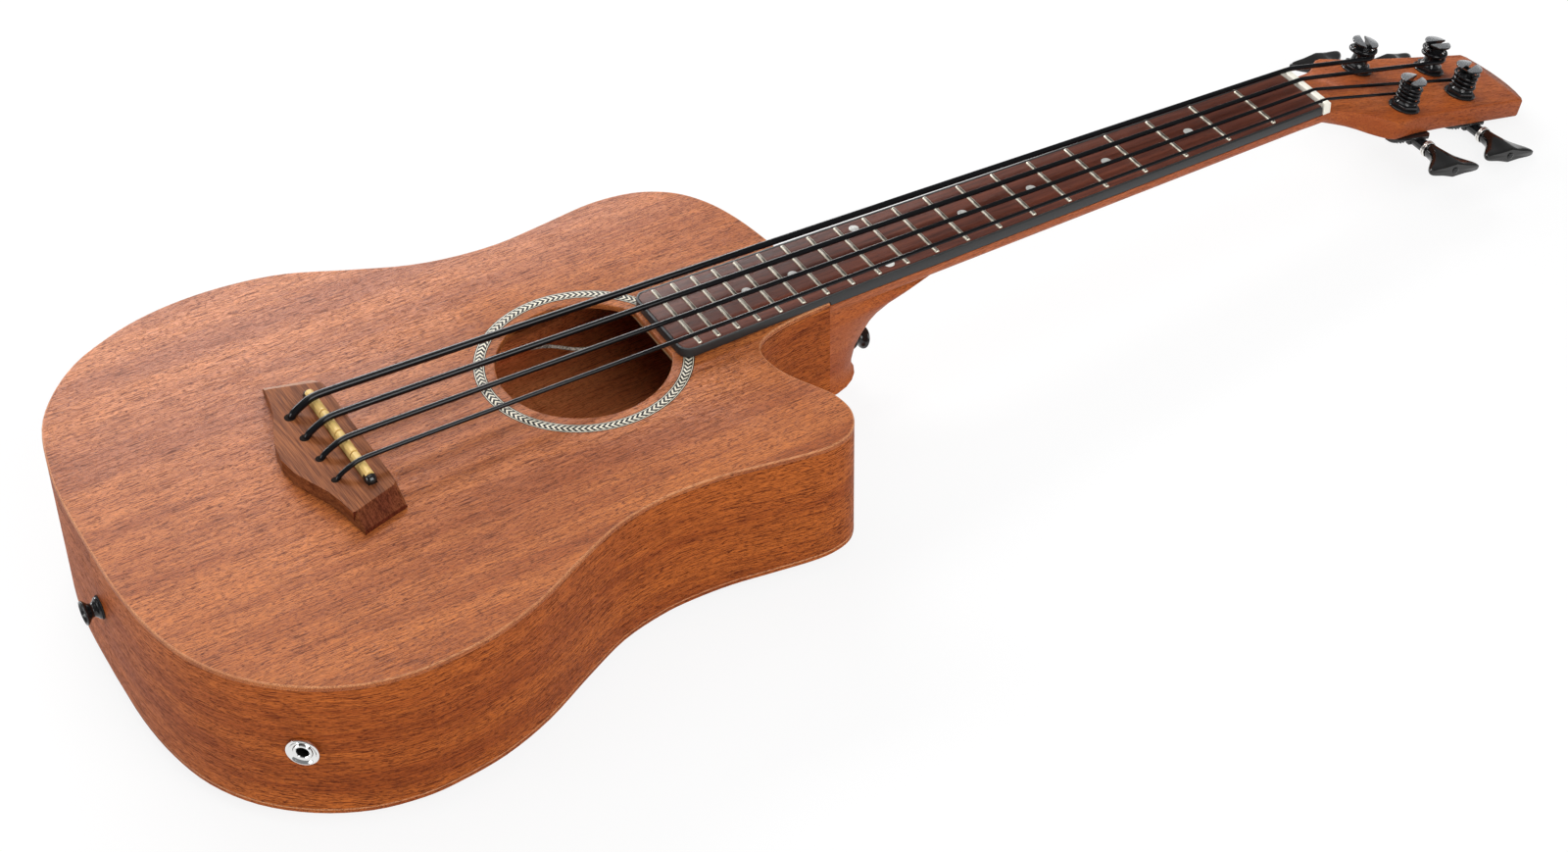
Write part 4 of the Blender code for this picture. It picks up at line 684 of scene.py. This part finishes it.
# The jack: a chromed dished flange round a threaded sleeve, held in the side by a nut from inside.
# The pickup's braided lead runs from it to the bridge.
JACK_X, JACK_Z, JACK_BORE = -0.0868, -0.0427, 0.0032
treble_line = drawn_line(TREBLE_DRAWN, 2)
for (x0, y0), (x1, y1) in zip(treble_line, treble_line[1:]):
    if x0 <= JACK_X < x1:
        jack_at = Vector((JACK_X, y0 + (y1 - y0) * (JACK_X - x0) / (x1 - x0), JACK_Z))
        jack_out = Vector((y1 - y0, x0 - x1, 0)).normalized()
JACK = TOP @ Matrix.Translation(jack_at) @ jack_out.to_track_quat("Z", "Y").to_matrix().to_4x4()
chrome = mottled("chrome", (0.004, 0.004, 0.004), (0.06, 0.16), Base_Color=(0.80, 0.80, 0.79), Metallic=1.0)
flange = spun([(0.00500, 0.0008), (0.0056, 0.00078), (0.0063, 0.0011), (0.0068, 0.0017), (0.00735, 0.00205),
               (0.0078, 0.0020), (0.0082, 0.0017), (0.0083, 0.0012), (0.0083, 0.0006), (0.0050, 0.0006)],
              JACK, 64, True)
placed("jack_dish", flange, [chrome], ["jack_flange"])
sleeve = spun([(JACK_BORE, 0.0013), (0.0035, 0.0016), (0.0044, 0.0016), (0.0047, 0.0013), (0.0047, -0.0032),
               (0.0077, -0.0032), (0.0077, -0.0057), (0.0047, -0.0057), (0.0047, -0.019), (JACK_BORE, -0.019),
               (JACK_BORE, -0.0005)], JACK, 48, True)
for face in sleeve.faces:
    at = JACK.inverted() @ face.calc_center_median()
    face.material_index = 1 if hypot(at.x, at.y) < JACK_BORE + 0.0002 and at.z < 0.0012 else 0
placed("jack_sleeve", sleeve, [chrome, gloss_black], ["jack_body"])


def rounder(node, grow):
    """a smooth copy of a CAD cord: its facets joined in fours and swelled by what smoothing takes"""
    shape = bmesh.new()
    shape.from_mesh(nodes[node].data)
    bmesh.ops.remove_doubles(shape, verts=shape.verts[:], dist=WELD)
    bmesh.ops.join_triangles(shape, faces=shape.faces[:], angle_face_threshold=radians(30),
                             angle_shape_threshold=radians(180), cmp_seam=False, cmp_sharp=False)
    shape.normal_update()
    for v, out in [(v, v.normal.copy()) for v in shape.verts]:
        v.co += out * grow
    return shape


def swelled(piece):
    """finishes a cord with two steps of subdivision"""
    smooth = piece.modifiers.new("smooth", "SUBSURF")
    smooth.levels = smooth.render_levels = 2


braid = Finish("braided_lead")
cross = braid.noise(braid.field((0.0009, 0.0009, 0.0009)), 2)
braid.set("Base_Color", braid.mix(braid.ramp(cross, 0.42, 0.58), (0.10, 0.075, 0.055), (0.55, 0.48, 0.40)))
braid.set("Roughness", braid.ramp(cross, 0.3, 0.7, 0.5, 0.7))
braid.bump(cross, 0.6, 0.0003)
swelled(placed("braided_lead", rounder("pickup_lead", 0.00008), [braid], ["pickup_lead"], turn=180))

# The strap buttons: turned and black-plated, one at the tail and one on the heel.
# Each is held by a screw through its cupped head, with a felt washer under it.
plated = mottled("black_plating", (0.003, 0.003, 0.003), (0.12, 0.22), ((0.007, 0.007, 0.0075), (0.014, 0.014, 0.015)))
felt = Finish("black_felt", Base_Color=(0.016, 0.016, 0.017))
nap = felt.noise(felt.field((0.0003, 0.0003, 0.0003)), 5)
felt.set("Roughness", felt.ramp(nap, 0.3, 0.7, 0.8, 1.0))
felt.bump(nap, 0.8, 0.0003)
SCREW = [(0, -0.012), (0.0006, -0.0118), (0.0017, -0.0095), (0.0017, 0.0009)]
FOOT = [(0.0056, 0.0009), (0.0058, 0.0012), (0.0056, 0.0018)]
WAIST = smooth_line([(0.0054, 0.0021, 0), (0.0044, 0.0028, 0), (0.0036, 0.0041, 0), (0.0040, 0.0057, 0),
                     (0.0056, 0.0072, 0), (0.0063, 0.0081, 0), (0.0064, 0.0087, 0), (0.0061, 0.0091, 0)], 3)
CUP = [(0.0055, 0.0089), (0.0043, 0.0073), (0.0034, 0.0064), (0.0033, 0.0068), (0.0026, 0.0075), (0.0012, 0.0079),
       (0, 0.0080)]
HEEL_LONG, OFF_HEEL = 0.0281, 0.0002
heel_face = BODY_END + GAP + HEEL_LONG + OFF_HEEL
for end, out, at in (("tail", Vector((-1, 0, 0)), Vector((TAIL_X, 0, -0.040))),
                     ("heel", Vector((1, 0, -0.3)).normalized(), Vector((heel_face, 0, -0.055)))):
    stand = TOP @ Matrix.Translation(at) @ out.to_track_quat("Z", "Y").to_matrix().to_4x4()
    knob = spun(SCREW + FOOT + [(p[0], p[1]) for p in WAIST] + CUP, stand, 48)
    placed("strap_knob_" + end, knob, [plated], ["strap_button_" + end])
    pad = spun([(0.0018, 0.00005), (0.0061, 0.00005), (0.0063, 0.0004), (0.0061, 0.0009), (0.0018, 0.0009)],
               stand, 40, True)
    placed("felt_washer_" + end, pad, [felt])

# The tuners: four open machine heads, each with a black plate screwed under the head, a worm on the key's shaft
# and a wheel on the post, which comes up through a hex nut and washer. The post's slotted top takes the string.
SLOT_TURN = {"E": 67, "A": 0, "D": 23, "G": 22}
KEY_TURN = {"E": 9, "A": 6, "D": 0, "G": 0}
POST_TOP, SLOT_HALF, SLOT_TALL = 0.0185, 0.0017, 0.0062
SHAFT_APART, SHAFT_N = 0.0105, -0.0181
KEY_START, KEY_LONG = 0.0207, 0.0228
WASHER_TOP, HEX_HALF, HEX_TALL = 0.0012, 0.0072, 0.0022
SCREW_AT, BANDS_AT = 0.0434, (0.0174, 0.0190)
silver = mottled("silver_band", (0.002, 0.002, 0.002), (0.18, 0.30), detail=3, Base_Color=(0.86, 0.84, 0.80),
                 Metallic=1.0)
polished = mottled("polished_post_top", (0.001, 0.001, 0.001), (0.2, 0.36), detail=3, Base_Color=(0.66, 0.67, 0.68),
                   Metallic=1.0)


def post_shape():
    """the post turned to its waist and flared top, and slotted through from above"""
    waist = smooth_line([(0.0036, 0.0062, 0), (0.0054, 0.0051, 0), (0.0100, 0.0044, 0), (0.0135, 0.0046, 0),
                         (0.0160, 0.0052, 0), (0.0168, 0.0062, 0)], 3)
    line = [(0, -0.0220), (0.0036, -0.0220), (0.0038, -0.0218), (0.0038, -0.0202), (0.0025, -0.0202),
            (0.0025, -0.0160), (0.0039, -0.0160), (0.0039, 0.0034)] + [(p[1], p[0]) for p in waist]
    line += [(0.0072, 0.0171), (0.0077, 0.0174), (0.0078, 0.0177), (0.0078, 0.0181), (0.0076, POST_TOP - 0.0001),
             (0.0073, POST_TOP), (0, POST_TOP)]
    shape = spun(line, Matrix.Identity(4), 48)
    slot_floor = POST_TOP - SLOT_TALL
    for co, no in (((0, SLOT_HALF, 0), (0, 1, 0)), ((0, -SLOT_HALF, 0), (0, -1, 0)), ((0, 0, slot_floor), (0, 0, 1))):
        bmesh.ops.bisect_plane(shape, geom=shape.verts[:] + shape.edges[:] + shape.faces[:], dist=1e-7,
                               plane_co=co, plane_no=no)
    inside = [f for f in shape.faces if abs(f.calc_center_median().y) < SLOT_HALF - 1e-5
              and f.calc_center_median().z > slot_floor + 1e-5]
    bmesh.ops.delete(shape, geom=inside, context="FACES")
    corners = [v for v in shape.verts if v.is_boundary and abs(v.co.z - slot_floor) < 1e-5
               and abs(abs(v.co.y) - SLOT_HALF) < 1e-5]
    for side in (-1, 1):
        shape.edges.new([v for v in corners if v.co.y * side > 0])
    bmesh.ops.edgenet_fill(shape, edges=[e for e in shape.edges if len(e.link_faces) < 2])
    bmesh.ops.recalc_face_normals(shape, faces=shape.faces[:])
    for face in shape.faces:
        face.material_index = 1 if face.calc_center_median().z > POST_TOP - 0.00006 else 0
    return shape


def hex_nut():
    shape = bmesh.new()
    ring = bmesh.ops.create_circle(shape, cap_ends=True, segments=6, radius=HEX_HALF / cos(pi / 6))["verts"]
    bmesh.ops.rotate(shape, verts=ring, cent=(0, 0, 0), matrix=Matrix.Rotation(0.3, 3, "Z"))
    bmesh.ops.translate(shape, verts=ring, vec=(0, 0, WASHER_TOP))
    bmesh.ops.translate(shape, verts=extruded(shape, shape.faces[:]), vec=(0, 0, HEX_TALL))
    bmesh.ops.recalc_face_normals(shape, faces=shape.faces[:])
    top_face = max(shape.faces, key=lambda f: f.calc_center_median().z)
    bmesh.ops.inset_individual(shape, faces=[top_face], thickness=0.0016, depth=0.0)
    round_over(shape, [e for e in shape.edges if e.calc_face_angle(0) > 0.5], 0.00035)
    return shape


def key_shape():
    """the button of a key: a round boss that swells into a ridge between two thin rounded wings"""
    rings = []
    for share, wide, ridge, wing in (
            (0, 0.0040, 0.0040, 0.0040), (0.015, 0.0043, 0.0043, 0.0043), (0.10, 0.0045, 0.0043, 0.0043),
            (0.22, 0.0052, 0.0045, 0.0041), (0.34, 0.0066, 0.0048, 0.0037), (0.46, 0.0090, 0.0050, 0.0034),
            (0.58, 0.0121, 0.0051, 0.0032), (0.70, 0.0153, 0.0051, 0.0031), (0.80, 0.0176, 0.0050, 0.0031),
            (0.89, 0.0189, 0.0049, 0.0031), (0.95, 0.0192, 0.0048, 0.0030), (0.985, 0.0190, 0.0045, 0.0028),
            (1.0, 0.0184, 0.0041, 0.0024)):
        ring = []
        for k in range(40):
            c, s = cos(2 * pi * k / 40), sin(2 * pi * k / 40)
            u = wide * (1 if c > 0 else -1) * abs(c) ** (1 - 0.35 * share)
            tall = wing + (ridge - wing) * 2.718 ** -((u / (0.0042 + 0.0016 * share)) ** 2)
            n = tall * (1 if s > 0 else -1) * abs(s) ** (1 - 0.4 * share)
            ring.append((u, KEY_START + KEY_LONG * share, n))
        rings.append(ring)
    shape = lofted(rings)
    bmesh.ops.poke(shape, faces=[max(shape.faces, key=lambda f: f.calc_center_median().y)])
    return shape


def key_screw():
    """the small cross-headed screw that holds the button on its shaft"""
    head = spun([(0, 0.0), (0.0019, 0.0), (0.0021, 0.0002), (0.0019, 0.0007), (0.0012, 0.0010), (0, 0.0011)],
                Matrix.Identity(4), 24)
    cross = Matrix.Translation((0, 0, 0.00102)) @ Matrix.Diagonal((0.0026, 0.0005, 0.0003, 1))
    for turn in (0, pi / 2):
        bar = bmesh.ops.create_cube(head, size=1, matrix=Matrix.Rotation(turn, 4, "Z") @ cross)["verts"]
        for face in {f for v in bar for f in v.link_faces}:
            face.material_index = 1
    return head


def on_shaft(stem, along):
    """a frame on the key's shaft, with z along it"""
    return stem @ Matrix.Translation((0, along, 0)) @ Matrix.Rotation(-pi / 2, 4, "X")


def turned_out(shape, at):
    """the shape put in a frame that may be mirrored, with its faces turned outwards again"""
    bmesh.ops.recalc_face_normals(moved(shape, at), faces=shape.faces[:])
    return shape


for name, (u, v) in POSTS.items():
    at = HEAD @ Matrix.Translation((u, v, 0))
    post = moved(post_shape(), at @ Matrix.Rotation(radians(SLOT_TURN[name]), 4, "Z"))
    placed("slotted_post_" + name, post, [plated, polished], ["string_post_" + name], "post_" + name)
    washer = spun([(0.0043, 0.0003), (0.0093, 0.0003), (0.0093, 0.0009), (0.0090, WASHER_TOP), (0.0043, WASHER_TOP)],
                  Matrix.Identity(4), 48, True)
    bushing = moved(joined(washer, hex_nut()), at)
    placed("hex_bushing_" + name, bushing, [plated], ["tuner_nut_" + name])
    mirror = Matrix.Diagonal((1, 1 if v > 0 else -1, 1, 1))
    stem = at @ Matrix.Translation((SHAFT_APART, 0, SHAFT_N)) @ mirror
    key = turned_out(key_shape(), stem @ Matrix.Rotation(-radians(KEY_TURN[name]), 4, "Y"))
    placed("fan_key_" + name, key, [gloss_black], ["tuner_key_" + name], "key_" + name, 40)
    screw = turned_out(key_screw(), on_shaft(stem, SCREW_AT) @ Matrix.Rotation(0.5, 4, "Z"))
    placed("key_screw_" + name, screw, [plated, gloss_black], (), "key_" + name)
    for along in BANDS_AT:
        band = spun([(0.0044, 0.0), (0.0047, 0.0001), (0.0049, 0.0004), (0.0049, 0.0009), (0.0047, 0.0012),
                     (0.0044, 0.0013)], Matrix.Identity(4), 40, True)
        turned_out(band, on_shaft(stem, along))
        placed(f"key_band_{name}_{round(along * 1e4)}", band, [silver], (), "key_" + name)
    plate = eased("tuner_plate_" + name, 0.00025)
    placed("gear_plate_" + name, plate, [plated], ["tuner_plate_" + name])
    plated.on("worm_shaft_" + name, "worm_wheel_" + name)

# The strings: smooth black polyurethane, far thicker than on a guitar, pushed up through the bridge and wound
# round the posts. Between the bridge and the posts they are drawn fuller than in the CAD, as thick as in the photo.
CLEAR_OF_POST, TAPER = 0.0085, 0.022
rubber = mottled("black_string_rubber", (0.004, 0.001, 0.001), (0.05, 0.09),
                 ((0.003, 0.003, 0.0035), (0.006, 0.006, 0.007)), Specular_IOR_Level=0.26)
for name, grow, fuller in (("E", 0.00013, 0.00090), ("A", 0.00012, 0.00070), ("D", 0.0001, 0.00062),
                           ("G", 0.00009, 0.00046)):
    cord = rounder("string_" + name, grow)
    cord.normal_update()
    up = TOP.to_3x3() @ Vector((0, 0, 1))
    for v, out in [(v, v.normal.copy()) for v in cord.verts]:
        by_post, over_bridge = TO_HEAD @ v.co, (TO_TOP @ v.co).z - BRIDGE_TALL
        away = hypot(by_post.x - POSTS[name][0], by_post.y - POSTS[name][1]) - CLEAR_OF_POST
        share = max(0.0, min(1.0, away / TAPER)) * max(0.0, min(1.0, over_bridge / 0.0015 + 1.5))
        v.co += (out + up) * fuller * share
    swelled(placed("smooth_string_" + name, cord, [rubber], ["string_" + name], turn=180))

# The studio: a white sweep of paper that keeps the instrument's shadow, and five soft lamps.
# Two long strips beyond the bass side give the top its sheen, and the lamp in front lights the treble side.
floor_mesh = bmesh.new()
bmesh.ops.create_grid(floor_mesh, x_segments=1, y_segments=1, size=6)
bmesh.ops.translate(floor_mesh, verts=floor_mesh.verts, vec=(0.3, 0, cad_box[0][2] - 0.0009))
floor_data = bpy.data.meshes.new("floor")
floor_mesh.to_mesh(floor_data)
floor_mesh.free()
floor = bpy.data.objects.new("floor", floor_data)
scene.collection.objects.link(floor)
paper = Finish("studio_paper", Base_Color=(0.84, 0.84, 0.84), Roughness=0.9)
glow = paper.tree.nodes.new("ShaderNodeEmission")
rays = paper.tree.nodes.new("ShaderNodeLightPath").outputs
seen = [Value(paper.tree, rays[kind]) for kind in ("Is Camera Ray", "Is Glossy Ray", "Is Transmission Ray")]
whiter = paper.tree.nodes.new("ShaderNodeMixShader")
paper.tree.links.new(paper.ramp(seen[0] + seen[1] + seen[2], 0, 1, 0, 0.86).socket, whiter.inputs[0])
paper.tree.links.new(paper.shader.outputs[0], whiter.inputs[1])
paper.tree.links.new(glow.outputs[0], whiter.inputs[2])
paper.tree.links.new(whiter.outputs[0], paper.tree.nodes["Material Output"].inputs["Surface"])
floor_data.materials.append(paper.material)
world = bpy.data.worlds.new("studio")
scene.world = world
world.use_nodes = True
world.node_tree.nodes["Background"].inputs["Color"].default_value = (0.95, 0.97, 1.0, 1)
world.node_tree.nodes["Background"].inputs["Strength"].default_value = 0.24
for name, place, power, long, wide in (("key_lamp", (0.0, 0.4, 2.0), 12, 1.8, 1.8),
                                       ("far_strip", (0.45, 1.65, 1.25), 25, 1.5, 0.35),
                                       ("rim_strip", (0.30, 2.40, 0.60), 48, 2.6, 0.5),
                                       ("tail_lamp", (-1.9, 0.2, 0.6), 13, 1.0, 0.8),
                                       ("front_lamp", (0.40, -1.8, 1.4), 37, 1.5, 1.5)):
    data = bpy.data.lights.new(name, "AREA")
    data.shape, data.energy, data.size, data.size_y = "RECTANGLE", power, long, wide
    lamp = bpy.data.objects.new(name, data)
    lamp.location = place
    lamp.rotation_euler = (Vector((0.25, 0, 0.05)) - Vector(place)).to_track_quat("-Z", "Y").to_euler()
    scene.collection.objects.link(lamp)
